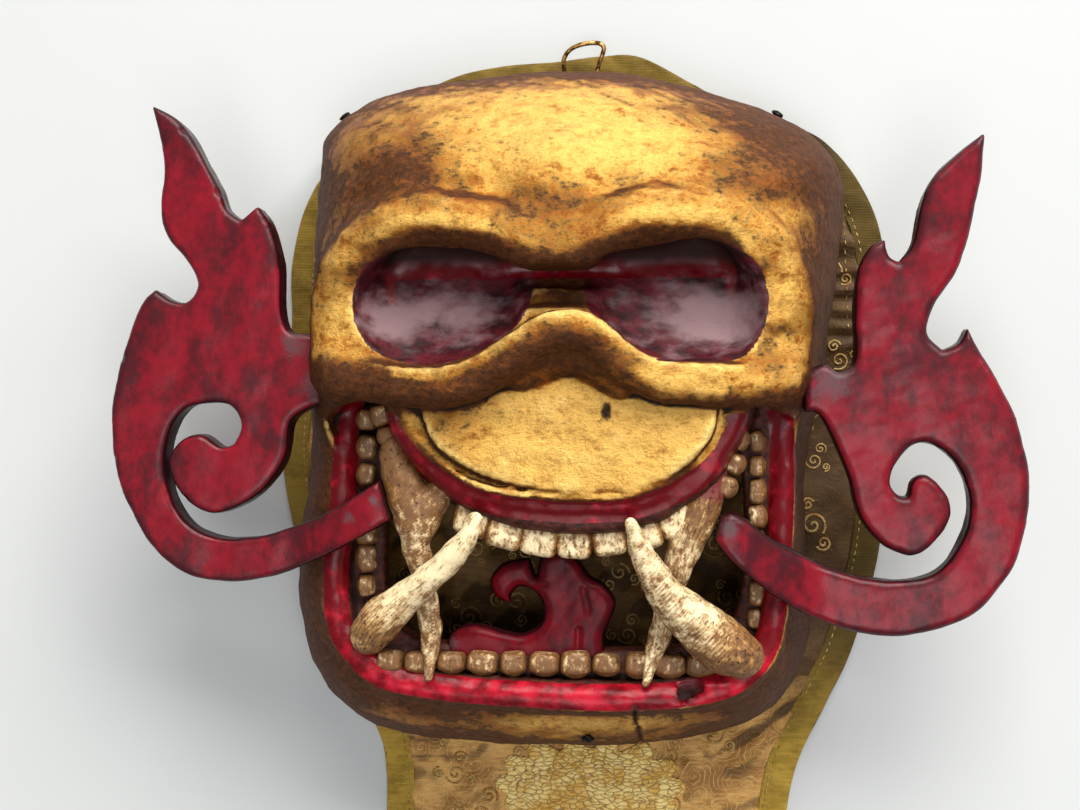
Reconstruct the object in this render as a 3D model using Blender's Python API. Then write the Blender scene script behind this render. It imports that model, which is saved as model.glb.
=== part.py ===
"""Carved and gilded guardian mask with scroll ears, lying on its open cloth hood.

The constants are in millimetres, and the meshes are made in metres. +Z points out of the
mask's face, +Y towards its brow, and the hood's underside lies on Z = 0. X and Y are
counted from the bridge of the nose until the last step, which moves them to the middle of
the whole outline.
"""
import math
from itertools import product

import bmesh
import bpy
import numpy as np
from mathutils import Vector

MM = 0.001

# ---- The whole thing ----
OUTLINE_MIDDLE = (-9.0, -48.7)
GAP = 0.35
SWELL = 0.62

# ---- The hood it lies on ----
CLOTH_THICK = 5.6
BORDER_WIDTH = 16.0
HOOD_OUTLINE = (
    (-84, 184), (-51, 192), (-19, 194), (7, 197), (30, 196), (60, 180), (84, 166),
    (112, 157), (134, 146), (154, 121), (166, 88), (171, 28), (168, -28), (164, -84),
    (150, -137), (134, -172), (118, -206), (111, -245), (108, -299), (-121, -299),
    (-117, -245), (-118, -204), (-128, -178), (-148, -140), (-166, -92), (-175, -58),
    (-178, -23), (-173, 41), (-172, 82), (-160, 122), (-128, 160),
)
HOOD_CORNERS = (18, 19)

# ---- The carved shell ----
RIM_HEIGHT = CLOTH_THICK + GAP
WALL = 11.0
CARVING_STEP = 3.6
SHELL_FACETS = 2760.0
HEAD_OUTLINE = (
    (-144, 152), (-108, 173), (-49, 182), (0, 184), (36, 180), (66, 172), (108, 157),
    (133, 139), (143, 117), (140, 80), (134, 38), (129, 0), (122, -30), (121, -60),
    (123, -95), (124, -126), (116, -152), (96, -174), (52, -187), (0, -191.5),
    (-77, -189.5), (-115, -182), (-138, -166), (-153, -144), (-160, -110), (-159, -75),
    (-153, -30), (-151, 20), (-151, 80), (-150, 126),
)
FOREHEAD_HEIGHT = 124.0
JAW_HEIGHT = 94.0
CHIN_HEIGHT = 104.0
TOP_ROUND = 88.0
SIDE_ROUND = 46.0
JAW_ROUND = 30.0
CHIN_ROUND = 46.0
# Each of these is a run along Y over which the face or its back changes height.
CHIN_RUN = (-140.0, -90.0)
LOW_FACE_RUN = (-34.0, 6.0)
FOREHEAD_RUN = (50.0, 150.0)
BACK_JAW_RUN = (-44.0, -14.0)
BACK_BROW_RUN = (78.0, 110.0)
BACK_HEIGHT = 90.0
BACK_BROW_RISE = 20.0
BACK_JAW_DROP = 14.0

# Each point of a carved band is x, y, height and radius.
BROW_LEFT = (
    (-121, 12, 116, 10), (-126, 30, 110, 10), (-124, 52, 109, 10), (-116, 71, 114, 9.5),
    (-97, 84, 121, 9), (-70, 89, 126, 9), (-44, 85, 129, 9.5), (-26, 78, 129, 10.5),
    (-10, 71, 125, 11),
)
BROW_RIGHT = (
    (103, 8, 110, 10), (107, 30, 104, 10), (105, 54, 104, 10), (97, 72, 110, 9.5),
    (80, 86, 117, 9), (57, 92, 123, 9), (33, 88, 128, 9.5), (13, 79, 129, 10.5),
    (-3, 71, 125, 11),
)
BETWEEN_BROWS = ((-9, 108, 103, 22), (-9, 90, 110, 21), (-8, 76, 116.5, 15.5))
CHEEK_BAND = (
    (-128, 15, 106, 9), (-112, 11, 116, 9.5), (-94, 8, 122, 10), (-73, 6, 127, 10.5),
    (-60, 7, 129, 10.5), (-48, 11.5, 130, 10.5), (-35, 18.5, 132, 10.5), (-24, 26, 134, 10.5),
    (-13, 32, 135.5, 10.5), (-2, 34, 136, 10.5), (9, 32, 135.5, 10.5), (18, 25.5, 134, 10.5),
    (26, 17.5, 132, 10.5), (38, 11, 130, 10.5), (57, 8, 127.5, 10.5), (77, 7, 123, 10.5),
    (92, 9, 116, 10), (106, 14, 104, 9.5),
)
CREST_OUT = 7.6
CREST_UP = 7.9
CREST_RADIUS = 2.8
NOSE_FACE = ((-26, 14, 121, 10), (-14, 21, 124, 11), (-2, 24, 125, 11), (10, 20, 124, 11),
             (22, 9, 121, 10))
SOCKET_LEFT = (
    (-22, 50), (-33, 33), (-56, 21), (-78, 18), (-101, 25), (-112, 45), (-104, 67),
    (-86, 78), (-62, 76), (-37, 73), (-24, 63),
)
SOCKET_RIGHT = (
    (4, 50), (8, 62), (18, 74), (38, 75), (62, 81), (80, 75), (92, 62), (95, 42),
    (84, 22), (62, 19), (38, 20), (19, 32),
)
SOCKET_TOP = 130.0
SOCKET_DEPTH = 25.0
SOCKET_LEAST_DEPTH = 12.0
SOCKET_LEVEL = 48.0
SOCKET_TILT = 1.0 / 6.0
SOCKET_ROUND = 25.0
SOCKET_UNDERCUT = 0.42
UNDERCUT_RUN = (36.0, 66.0)
BRIDGE_OUTLINE = ((-36, 45), (-36, 66), (18, 66), (18, 45))
BRIDGE_HEIGHT = 114.0
BRIDGE_TOP = 150.0
BRIDGE_ROUND = 5.0
BRIDGE_CHANNEL = ((-34, 65, 113, 9), (-9, 66, 111, 9.5), (16, 65, 113, 9))
MUZZLE_OUTLINE = (
    (-82, 14), (-80, 1), (-78, -9), (-74, -19), (-67, -27), (-57, -34.5), (-41, -41.5),
    (-22, -46), (-2, -48), (17, -47.5), (34, -45), (49, -39), (60, -30.5), (67.5, -21),
    (71.5, -10), (73, 1), (74, 14),
)
MUZZLE_CORNERS = (0, 16)
MUZZLE_HEIGHT = 125.0
MUZZLE_FOOT = 96.0
MUZZLE_BACK = 90.0
MUZZLE_ROUND = 2.6
SNOUT_OUTLINE = (
    (-102, 12), (-101, -12), (-92, -29), (-75, -47), (-47, -65), (0, -73), (40, -67),
    (69, -49), (83, -28), (92, -6), (94, 12),
)
SNOUT_CORNERS = (0, 10)
SNOUT_HEIGHT = 119.0
SNOUT_FOOT = 60.0
SNOUT_BACK = 72.0
SNOUT_ROUND = 10.0
UPPER_LIP = (
    (-95, 0, 108, 5), (-88, -18, 111, 5.5), (-71, -36, 113, 6), (-47, -49.5, 115, 6.3),
    (-18, -53.5, 116, 6.5), (3, -54.5, 116, 6.5), (30, -52.5, 116, 6.3),
    (53, -42.5, 114, 6), (69, -28.5, 111, 5.5), (78, -12.5, 107, 5),
)
LIP_RIDGE = (
    (-92, 1, 112, 2.2), (-84, -16, 116, 2.4), (-68, -32, 119, 2.4), (-45, -44, 121, 2.4),
    (-17, -48, 121.6, 2.5), (3, -49, 121.6, 2.5), (28, -47, 121.6, 2.5),
    (50, -38, 120, 2.4), (65, -26, 117, 2.4), (74, -11, 113, 2.2),
)
LOWER_LIP = (
    (-120, -2, 84, 6), (-123, -25, 87, 6), (-125, -52, 89, 6.5), (-128, -99, 93, 7),
    (-121, -125, 96, 7.5), (-100, -143, 98, 8), (-65, -149, 100, 8), (-29, -151, 102, 8),
    (12, -152, 103, 8), (52, -150, 102, 8), (80, -143, 99, 8), (96, -127, 95, 7.5),
    (102, -102, 92, 7), (105, -61, 88, 6.5), (106, -21, 84, 6), (104, -4, 82, 6),
)
GUM_BASIN = (
    (-113, 4), (-117, -50), (-120, -100), (-112, -124), (-96, -136), (-62, -141),
    (12, -143), (56, -141), (80, -134), (90, -122), (95, -100), (98, -55), (98, 0),
)
GUM_FLOOR = 88.0
GUM_CHIN_RISE = 8.0
GUM_CHIN_RUN = (-140.0, -100.0)
MOUTH_OUTLINE = (
    (-97, -24), (-101, -60), (-100, -108), (-86, -123), (-50, -128), (0, -129), (50, -127),
    (74, -118), (84, -95), (85, -50), (81, -32), (68, -48), (42, -63), (0, -69),
    (-46, -64), (-74, -49), (-89, -32),
)

# ---- Small teeth, each a bevelled block of width, height and depth ----
TOOTH_BEVEL = 1.8
TOOTH_NARROWS = 0.86
LOWER_TOOTH = (13.6, 12.2, 15.0)
LOWER_ROW_START = (-97.0, -135.6, 97.5)
LOWER_ROW_PITCH = 16.0
LOWER_ROW_COUNT = 11
UPPER_TOOTH = (14.0, 15.5, 14.0)
UPPER_ROW = ((50, -58.3), (33, -64.9), (16, -68.8), (-1, -70), (-18, -68.6), (-35, -64.6),
             (-52, -57.8))
UPPER_ROW_HEIGHT = 105.0
# Each column has its x, the y of its first tooth, its pitch and its count.
SIDE_COLUMNS = ((-111.0, -10.0, 14.5, 7), (92.0, -21.0, 13.0, 8))
SIDE_TOOTH = (10.0, 10.0, 12.0)
SIDE_TOOTH_HEIGHT = 89.0

# ---- Horned teeth: x, y, height and radius along the middle line ----
TUSK_LEFT = (
    (-107, -121, 104, 10), (-100, -112, 109, 11), (-87, -101, 114, 8.8), (-76, -92, 119, 7.4),
    (-65, -82, 123, 6.8), (-55, -71, 126, 5.8), (-49, -59, 128, 3.4),
)
TUSK_RIGHT = (
    (82, -129, 104, 12), (73, -123, 108, 14), (61, -112, 114, 12.5), (48, -100, 119, 9.8),
    (40, -88, 124, 7.8), (33, -74, 127, 5.8), (28, -61, 129, 3),
)
FANG_LEFT = (
    (-93, -24, 107, 6), (-90, -36, 107, 7.6), (-85, -49, 107, 9.2), (-83, -62, 107, 9),
    (-82, -77, 105, 7.2), (-79, -92, 103, 6.2), (-77, -108, 102, 6), (-75, -123, 104, 5.4),
    (-75.6, -141.6, 110, 1.8),
)
FANG_RIGHT = (
    (68, -36, 105, 8), (63, -52, 106, 10.5), (57, -67, 105.5, 9.8), (52, -82, 104, 8),
    (48, -96, 102, 6.6), (44, -111, 101, 6), (40, -125.5, 105, 5), (35, -143, 111, 1.8),
)
TUSK_FLAT = 0.9
FANG_FLAT = 0.75
HORN_SIDES = 8

# ---- Boards: the flame-and-spiral ears and the cloud tongue ----
EAR_THICK = 18.0
EAR_HEIGHT = 92.0
EAR_RISE = 17.0
LEFT_ARM = (-152.0, -102.0)
RIGHT_ARM = (126.0, 76.0)
ARM_CUTS = 5
EAR_BEVEL = 2.2
EAR_LEFT = (
    (-224, 155), (-212, 148), (-203, 138), (-196, 126), (-188, 111), (-184, 100),
    (-176, 94), (-167, 101), (-160, 90), (-155, 68), (-154, 44), (-150, 35), (-141, 34),
    (-133, 33), (-133, -2), (-142, -5), (-150, -12), (-153, -30), (-163, -45), (-178, -56),
    (-193, -59), (-208, -49), (-215, -34), (-209, -22), (-198, -18), (-187, -24), (-180, -23),
    (-176, -13), (-181, -3), (-192, -1), (-205, -4), (-214, -16), (-217, -33), (-213, -52),
    (-203, -66), (-187, -72), (-166, -71), (-140, -63), (-118, -52), (-100, -41), (-94, -61),
    (-116, -73), (-143, -86), (-171, -94), (-198, -93), (-218, -82), (-234, -61), (-243, -35),
    (-245, -8), (-240, 22), (-230, 49), (-222, 58), (-214, 53), (-205, 52), (-199, 61),
    (-206, 74), (-216, 87), (-219, 98), (-217, 122), (-220, 139),
)
EAR_LEFT_CORNERS = (0, 6, 7, 13, 14, 26, 39, 40, 51)
EAR_RIGHT = (
    (205, 135), (203, 113), (198, 89), (190, 64), (179, 47), (176, 34), (184, 25),
    (192, 29), (196, 37), (207, 17), (219, -6), (226, -34), (225, -62), (216, -88),
    (199, -107), (176, -117), (150, -119), (122, -111), (97, -97), (76, -79), (69, -70),
    (73, -58), (81, -57), (102, -72), (128, -85), (155, -91), (178, -88), (191, -75),
    (197, -54), (192, -34), (180, -23), (169, -23), (160, -33), (158, -42), (162, -48),
    (167, -49), (169, -41), (176, -38), (185, -46), (188, -57), (182, -69), (170, -78),
    (154, -73), (142, -58), (137, -38), (131, -24), (123, -8), (115, -6), (114, 13),
    (125, 18), (133, 14), (140, 20), (140, 42), (141, 62), (147, 76), (155, 81), (157, 73),
    (162, 69), (169, 79), (173, 100), (180, 113), (191, 124),
)
EAR_RIGHT_CORNERS = (0, 6, 8, 20, 21, 35, 47, 48, 55, 57)
TONGUE_THICK = 13.0
TONGUE_HEIGHT = 89.0
TONGUE_BEVEL = 1.8
TONGUE_OUTLINE = (
    (-68, -136), (-68, -123), (-60, -117), (-50, -117), (-38, -120), (-29, -121), (-20, -116),
    (-18, -108), (-22, -100), (-30, -97), (-35, -101), (-35, -106), (-44, -101), (-46, -92),
    (-38, -84), (-26, -82), (-22, -92), (-19, -81), (-9, -77), (0, -83), (6, -91),
    (13, -95), (19, -104), (16, -114), (13, -123), (14, -134), (10, -136),
)
TONGUE_CORNERS = (0, 11, 15, 16, 25, 26)

# ---- Iron and brass ----
WIRE_RADIUS = 1.3
WIRE_SIDES = 6
WIRE_PATH = (
    (-12, 180, 13), (-13, 187, 14.5), (-13, 193, 16), (-9, 198, 17.5), (-2, 200.5, 18.3),
    (6, 201, 18), (9.5, 198.5, 17.2), (8, 193, 16), (6, 187, 14.8), (5.5, 179, 13),
)
# Each step of a nail is how far it stands out from the wood and its radius there.
NAIL_PROFILE = ((-7.0, 1.0), (-0.4, 1.2), (0.0, 3.1), (0.5, 3.4), (1.3, 3.2), (2.1, 1.2))
NAIL_SIDES = 8
# Each nail has its head's place and the way that its head faces.
NAILS = {
    "nail_top_left": ((-131.2, 155.9, 47.7), (-0.58, 0.78, 0.23)),
    "nail_top_right": ((104.6, 155.1, 37.8), (0.41, 0.89, 0.18)),
    "nail_chin": ((4.5, -175.5, 86.0), (0.03, -0.8, 0.6)),
}

FAR = 1000.0


# ---- Curves and outlines ----
def spline(points, closed=False, corners=(), steps=4):
    """Runs a smooth curve through the points, sharp at those listed in corners."""
    points = [np.array(point, dtype=float) for point in points]
    count = len(points)
    curve = []
    for index in range(count if closed else count - 1):
        start, end = points[index], points[(index + 1) % count]
        before = points[index - 1] if closed or index else 2 * start - end
        after_index = index + 2
        if closed:
            after = points[after_index % count]
        else:
            after = points[after_index] if after_index < count else 2 * end - start
        if index in corners:
            before = 2 * start - end
        if (index + 1) % count in corners:
            after = 2 * end - start
        for step in range(steps):
            t = step / steps
            curve.append(0.5 * (2 * start + (end - before) * t
                                + (2 * before - 5 * start + 4 * end - after) * t ** 2
                                + (3 * start - before - 3 * end + after) * t ** 3))
    if not closed:
        curve.append(points[-1])
    return np.array(curve)


def ease(low, high, value):
    """Rises smoothly from 0 at low to 1 at high."""
    t = np.clip((value - low) / (high - low), 0.0, 1.0)
    return t * t * (3.0 - 2.0 * t)


def depth_inside(outline, x, y):
    """Distance inwards from a closed outline, negative outside it."""
    nearest = np.full(np.broadcast(x, y).shape, FAR, np.float32)
    odd = np.zeros(nearest.shape, bool)
    for (ax, ay), (bx, by) in zip(outline, np.roll(outline, -1, axis=0)):
        ex, ey = bx - ax, by - ay
        along = np.clip(((x - ax) * ex + (y - ay) * ey) / (ex * ex + ey * ey), 0.0, 1.0)
        nearest = np.minimum(nearest, np.hypot(x - ax - along * ex, y - ay - along * ey))
        if ay != by:
            crosses = (ay > y) != (by > y)
            odd ^= crosses & (x < ax + (y - ay) * ex / ey)
    return np.where(odd, nearest, -nearest)


def even_out(depth, step, reach=15.0):
    """Averages a map of depths over a short reach, so that its corners leave no crease."""
    size = max(int(reach / step), 1)
    kernel = np.hanning(2 * size + 1)
    kernel /= kernel.sum()
    padded = np.pad(depth[:, :, 0], size, mode="edge")
    padded = sum(weight * padded[index:index + depth.shape[0]]
                 for index, weight in enumerate(kernel))
    padded = sum(weight * padded[:, index:index + depth.shape[1]]
                 for index, weight in enumerate(kernel))
    return padded[:, :, None].astype(np.float32)


# ---- Carving: a block held as distances to its surface on an even grid ----
class Block:
    """Wood that forms are added to and carved from, blended where they meet."""

    def __init__(self, low, high, step):
        self.step = step
        self.low = np.array(low, float)
        axes = [np.arange(a, b + step, step, dtype=np.float32) for a, b in zip(low, high)]
        self.x, self.y, self.z = np.meshgrid(*axes, indexing="ij", sparse=True)
        self.field = np.full([len(axis) for axis in axes], FAR, np.float32)

    def window(self, low, high):
        """The part of the grid inside a box, as slices."""
        first = np.floor((np.array(low) - self.low) / self.step).astype(int)
        last = np.ceil((np.array(high) - self.low) / self.step).astype(int) + 1
        first = np.clip(first, 0, self.field.shape)
        last = np.clip(last, 0, self.field.shape)
        return tuple(slice(a, b) for a, b in zip(first, last))

    def coordinates(self, part):
        """The grid's x, y and z in one window."""
        return self.x[part[0]], self.y[:, part[1]], self.z[:, :, part[2]]

    def blend(self, form, part, soft, carve):
        """Adds or carves a form given as distances, rounding the join over soft."""
        here = self.field[part]
        other, sign = (-form, -1.0) if carve else (form, 1.0)
        share = np.clip(0.5 + 0.5 * sign * (here - other) / soft, 0.0, 1.0)
        self.field[part] = here + (other - here) * share - sign * soft * share * (1.0 - share)

    def whole(self, form, soft=4.0, carve=False):
        """Blends in a form that was worked out over the whole grid."""
        self.blend(form, (slice(None),) * 3, soft, carve)

    def band(self, points, soft=6.0, carve=False, steps=5):
        """Adds or carves a round band along a curve of x, y, height and radius."""
        curve = spline(points, steps=steps)
        reach = curve[:, 3].max() + soft + 2 * self.step
        part = self.window(curve[:, :3].min(axis=0) - reach, curve[:, :3].max(axis=0) + reach)
        form = np.full(self.field[part].shape, FAR, np.float32)
        offset = [piece.start for piece in part]
        for start, end in zip(curve, curve[1:]):
            low = np.minimum(start, end)[:3] - reach
            high = np.maximum(start, end)[:3] + reach
            local = self.window(low, high)
            inner = tuple(slice(p.start - o, p.stop - o) for p, o in zip(local, offset))
            x, y, z = self.coordinates(local)
            run = end[:3] - start[:3]
            along = ((x - start[0]) * run[0] + (y - start[1]) * run[1] + (z - start[2]) * run[2])
            along = np.clip(along / (run @ run), 0.0, 1.0)
            away = np.sqrt((x - start[0] - along * run[0]) ** 2
                           + (y - start[1] - along * run[1]) ** 2
                           + (z - start[2] - along * run[2]) ** 2)
            away = away - start[3] - along * (end[3] - start[3])
            form[inner] = np.minimum(form[inner], away)
        self.blend(form, part, soft, carve)

    def close_pinches(self):
        """Fills the grid squares where two parts of the wood would meet at an edge only."""
        for first, second in ((0, 1), (0, 2), (1, 2)) * 3:
            field = np.moveaxis(self.field, (first, second), (0, 1))
            solid = field < 0.0
            pinch = ((solid[:-1, :-1] == solid[1:, 1:]) & (solid[1:, :-1] == solid[:-1, 1:])
                     & (solid[:-1, :-1] != solid[1:, :-1]))
            filled = np.where(pinch, -0.1 * self.step, FAR)
            for i, j in product((0, 1), repeat=2):
                corner = field[i:i + pinch.shape[0], j:j + pinch.shape[1]]
                np.minimum(corner, filled, out=corner)

    def skin(self):
        """Corner points and four-sided faces of the block's surface."""
        self.close_pinches()
        solid = self.field < 0.0
        shape = np.array(solid.shape) - 1
        ends = [np.array(end) for end in product((0, 1), repeat=3)]
        count = sum(solid[i:i + shape[0], j:j + shape[1], k:k + shape[2]].astype(np.int8)
                    for i, j, k in ends)
        cells = np.argwhere((count > 0) & (count < 8))
        number = np.full(shape, -1, np.int64)
        number[tuple(cells.T)] = np.arange(len(cells))
        total = np.zeros((len(cells), 3))
        hits = np.zeros(len(cells))
        for a, b in product(ends, ends):
            if (b - a).sum() != 1 or (b - a).min() < 0:
                continue
            value_a = self.field[tuple((cells + a).T)]
            value_b = self.field[tuple((cells + b).T)]
            cross = (value_a < 0.0) != (value_b < 0.0)
            share = np.where(cross, value_a / np.where(cross, value_a - value_b, 1.0), 0.0)
            total += cross[:, None] * (a + share[:, None] * (b - a))
            hits += cross
        points = self.low + (cells + total / hits[:, None]) * self.step
        faces = []
        for axis in range(3):
            side_u, side_v = np.eye(3, dtype=int)[[(axis + 1) % 3, (axis + 2) % 3]]
            first = np.moveaxis(np.moveaxis(solid, axis, 0)[:-1], 0, axis)
            second = np.moveaxis(np.moveaxis(solid, axis, 0)[1:], 0, axis)
            for entering in (False, True):
                edges = np.argwhere(second & ~first if entering else first & ~second)
                ring = [edges, edges - side_u, edges - side_u - side_v, edges - side_v]
                if entering:
                    ring.reverse()
                faces.append(np.stack([number[tuple(cell.T)] for cell in ring], axis=1))
        return points, np.concatenate(faces)


def pillow(depth, height, tall, rounding, power=2.2):
    """A hill with a rounded edge, from its depth inside an outline and height over its foot."""
    side = np.maximum(1.0 - depth / rounding, 1e-3)
    rise = np.maximum(height / tall, 1e-3)
    size = (side ** power + rise ** power) ** (1.0 / power)
    slope = np.hypot(side ** (power - 1) / rounding, rise ** (power - 1) / tall)
    return np.maximum((size - 1.0) * size ** (power - 1) / slope, -30.0)


def carved_head(step):
    """The shell as distances: skull, jaw, brow, sockets, lips and mouth."""
    block = Block((-176, -210, -4), (160, 206, 156), step)
    x, y, z = block.x, block.y, block.z
    inset = even_out(depth_inside(spline(HEAD_OUTLINE, closed=True), x, y), step)
    low_face = 1.0 - ease(*LOW_FACE_RUN, y)
    chin = 1.0 - ease(*CHIN_RUN, y)
    top = ease(*FOREHEAD_RUN, y)
    tall = FOREHEAD_HEIGHT + (JAW_HEIGHT - FOREHEAD_HEIGHT) * low_face
    tall = tall + (CHIN_HEIGHT - JAW_HEIGHT) * chin
    rounding = SIDE_ROUND + (TOP_ROUND - SIDE_ROUND) * top + (JAW_ROUND - SIDE_ROUND) * low_face
    rounding = rounding + (CHIN_ROUND - JAW_ROUND) * chin
    block.whole(pillow(inset, z, tall, rounding), soft=0.1)
    sink_cheeks(block)
    for brow in (BROW_LEFT, BROW_RIGHT):
        block.band(brow, soft=14.0)
    block.band(BETWEEN_BROWS, soft=20.0)
    block.band(CHEEK_BAND, soft=7.0)
    block.band(NOSE_FACE, soft=6.0)
    build_snout(block)
    carve_sockets(block)
    crest = [(x, y + CREST_OUT, height + CREST_UP, CREST_RADIUS)
             for x, y, height, _ in CHEEK_BAND[2:-2]]
    block.band(crest, soft=4.0)
    hollow(block, inset, rounding)
    block.field = np.maximum(block.field, RIM_HEIGHT - z)
    return block


def sink_cheeks(block):
    """Lowers the face below the eye band, so that the muzzle and lips stand on it."""
    depth = depth_inside(spline(GUM_BASIN, closed=True, steps=3), block.x, block.y)
    floor = GUM_FLOOR + GUM_CHIN_RISE * (1.0 - ease(*GUM_CHIN_RUN, block.y))
    form = np.maximum(-depth + 0.0 * block.z, floor - block.z)
    block.whole(form, soft=4.0, carve=True)
    block.band(LOWER_LIP, soft=4.0)


def carve_sockets(block):
    """Sinks the two bowls of the eyes, the low bridge between them and its dark channel."""
    x, y, z = block.x, block.y, block.z
    drop = np.maximum(SOCKET_DEPTH + SOCKET_TILT * (y - SOCKET_LEVEL), SOCKET_LEAST_DEPTH)
    shifted = y - SOCKET_UNDERCUT * (SOCKET_TOP - z) * ease(*UNDERCUT_RUN, y)
    for outline in (SOCKET_LEFT, SOCKET_RIGHT):
        depth = depth_inside(spline(outline, closed=True, steps=3), x, shifted)
        form = np.maximum(pillow(depth, SOCKET_TOP - z, drop, SOCKET_ROUND), MUZZLE_BACK - z)
        block.whole(form, soft=2.2, carve=True)
    depth = depth_inside(np.array(BRIDGE_OUTLINE, float), x, y)
    form = pillow(depth, BRIDGE_TOP - z, BRIDGE_TOP - BRIDGE_HEIGHT, BRIDGE_ROUND)
    block.whole(form, soft=4.0, carve=True)
    block.band(BRIDGE_CHANNEL, soft=3.0, carve=True)


def build_snout(block):
    """Adds the upper jaw with its half-disk muzzle and the rolled upper lip."""
    x, y, z = block.x, block.y, block.z
    depth = depth_inside(spline(SNOUT_OUTLINE, closed=True, corners=SNOUT_CORNERS), x, y)
    form = pillow(depth, z - SNOUT_FOOT, SNOUT_HEIGHT - SNOUT_FOOT, SNOUT_ROUND)
    block.whole(np.maximum(form, SNOUT_BACK - z), soft=3.0)
    depth = depth_inside(spline(MUZZLE_OUTLINE, closed=True, corners=MUZZLE_CORNERS), x, y)
    disk = pillow(depth, z - MUZZLE_FOOT, MUZZLE_HEIGHT - MUZZLE_FOOT, MUZZLE_ROUND)
    block.whole(np.maximum(disk, MUZZLE_BACK - z), soft=1.0)
    block.band(UPPER_LIP, soft=2.0)
    block.band(LIP_RIDGE, soft=1.0)


def hollow(block, inset, rounding):
    """Opens the back and cuts the mouth through."""
    x, y, z = block.x, block.y, block.z
    tall = BACK_HEIGHT + BACK_BROW_RISE * ease(*BACK_BROW_RUN, y)
    tall = tall - BACK_JAW_DROP * (1.0 - ease(*BACK_JAW_RUN, y))
    block.whole(pillow(inset - WALL, z, tall, rounding), soft=4.0, carve=True)
    depth = depth_inside(spline(MOUTH_OUTLINE, closed=True, steps=3), x, y)
    block.whole(-depth + 0.0 * z, soft=3.0, carve=True)


# ---- Meshes ----
def add_object(name, mesh, material):
    """Puts a mesh in the scene under its name, with its material."""
    body = bpy.data.objects.new(name, mesh)
    if material:
        mesh.materials.append(material)
    bpy.context.scene.collection.objects.link(body)
    return body


def mesh_from(name, points, faces):
    """Makes a mesh from millimetre points counted from the bridge of the nose."""
    mesh = bpy.data.meshes.new(name)
    shift = np.array((OUTLINE_MIDDLE[0], OUTLINE_MIDDLE[1], 0.0))
    mesh.from_pydata(((np.asarray(points) - shift) * MM).tolist(), [], [list(f) for f in faces])
    mesh.validate()
    return mesh


def face_outwards(mesh):
    """Turns every face of a closed mesh outwards."""
    work = bmesh.new()
    work.from_mesh(mesh)
    bmesh.ops.recalc_face_normals(work, faces=work.faces)
    if work.calc_volume(signed=True) < 0.0:
        bmesh.ops.reverse_faces(work, faces=work.faces)
    work.to_mesh(mesh)
    work.free()
    return mesh


def plate_mesh(name, outline, height):
    """A board between an outline's two copies; height gives its underside and top."""
    count = len(outline)
    points = [(px, py, level) for level in height for px, py in outline]
    faces = [[i, (i + 1) % count, count + (i + 1) % count, count + i] for i in range(count)]
    faces.append(list(range(count))[::-1])
    faces.append(list(range(count, 2 * count)))
    return face_outwards(mesh_from(name, points, faces))


def bend_arm(mesh, foot, tip):
    """Raises a board's arm from its foot to its tip, cutting it across so that it bends."""
    work = bmesh.new()
    work.from_mesh(mesh)
    for share in np.linspace(0.0, 1.0, ARM_CUTS):
        place = (foot + (tip - foot) * share - OUTLINE_MIDDLE[0]) * MM
        under_curl = [face for face in work.faces
                      if min(corner.co.y for corner in face.verts) < 0.0 or len(face.verts) > 4]
        parts = {part for face in under_curl for part in (face, *face.edges, *face.verts)}
        bmesh.ops.bisect_plane(work, geom=list(parts), plane_co=(place, 0, 0),
                               plane_no=(1, 0, 0), dist=1e-6)
    for corner in work.verts:
        x = corner.co.x / MM + OUTLINE_MIDDLE[0]
        y = corner.co.y / MM + OUTLINE_MIDDLE[1]
        share = ease(0.0, 1.0, (x - foot) / (tip - foot)) * (1.0 - ease(-42.0, -30.0, y))
        corner.co.z += float(share) * EAR_RISE * MM
    work.to_mesh(mesh)
    work.free()


def tube_mesh(name, curve, sides, flat=1.0):
    """A round closed tube along a curve of x, y, height and radius."""
    points, faces = [], []
    count = len(curve)
    for index, row in enumerate(curve):
        ahead = curve[min(index + 1, count - 1)][:3] - curve[max(index - 1, 0)][:3]
        tangent = Vector(ahead).normalized()
        side = tangent.cross(Vector((0, 0, 1))).normalized()
        up = side.cross(tangent).normalized()
        for turn in range(sides):
            angle = 2 * math.pi * turn / sides
            push = side * math.cos(angle) + up * (math.sin(angle) * flat)
            points.append(tuple(Vector(row[:3]) + push * row[3]))
    for ring in range(count - 1):
        for turn in range(sides):
            after = (turn + 1) % sides
            faces.append([ring * sides + turn, ring * sides + after,
                          (ring + 1) * sides + after, (ring + 1) * sides + turn])
    faces.append(list(range(sides)))
    faces.append([(count - 1) * sides + turn for turn in range(sides)])
    return face_outwards(mesh_from(name, points, faces))


def horn_curve(points, steps):
    """A horn's middle line, its blunt root rounded over."""
    curve = spline(points, steps=steps)
    root = curve[0].copy()
    away = curve[0][:3] - curve[1][:3]
    away = away / np.linalg.norm(away)
    caps = []
    for share in (0.95, 0.6):
        ring = root.copy()
        ring[:3] = root[:3] + away * root[3] * share * 0.7
        ring[3] = root[3] * math.sqrt(1.0 - share ** 2) + 0.3
        caps.append(ring)
    return np.vstack([caps, curve])


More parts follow.
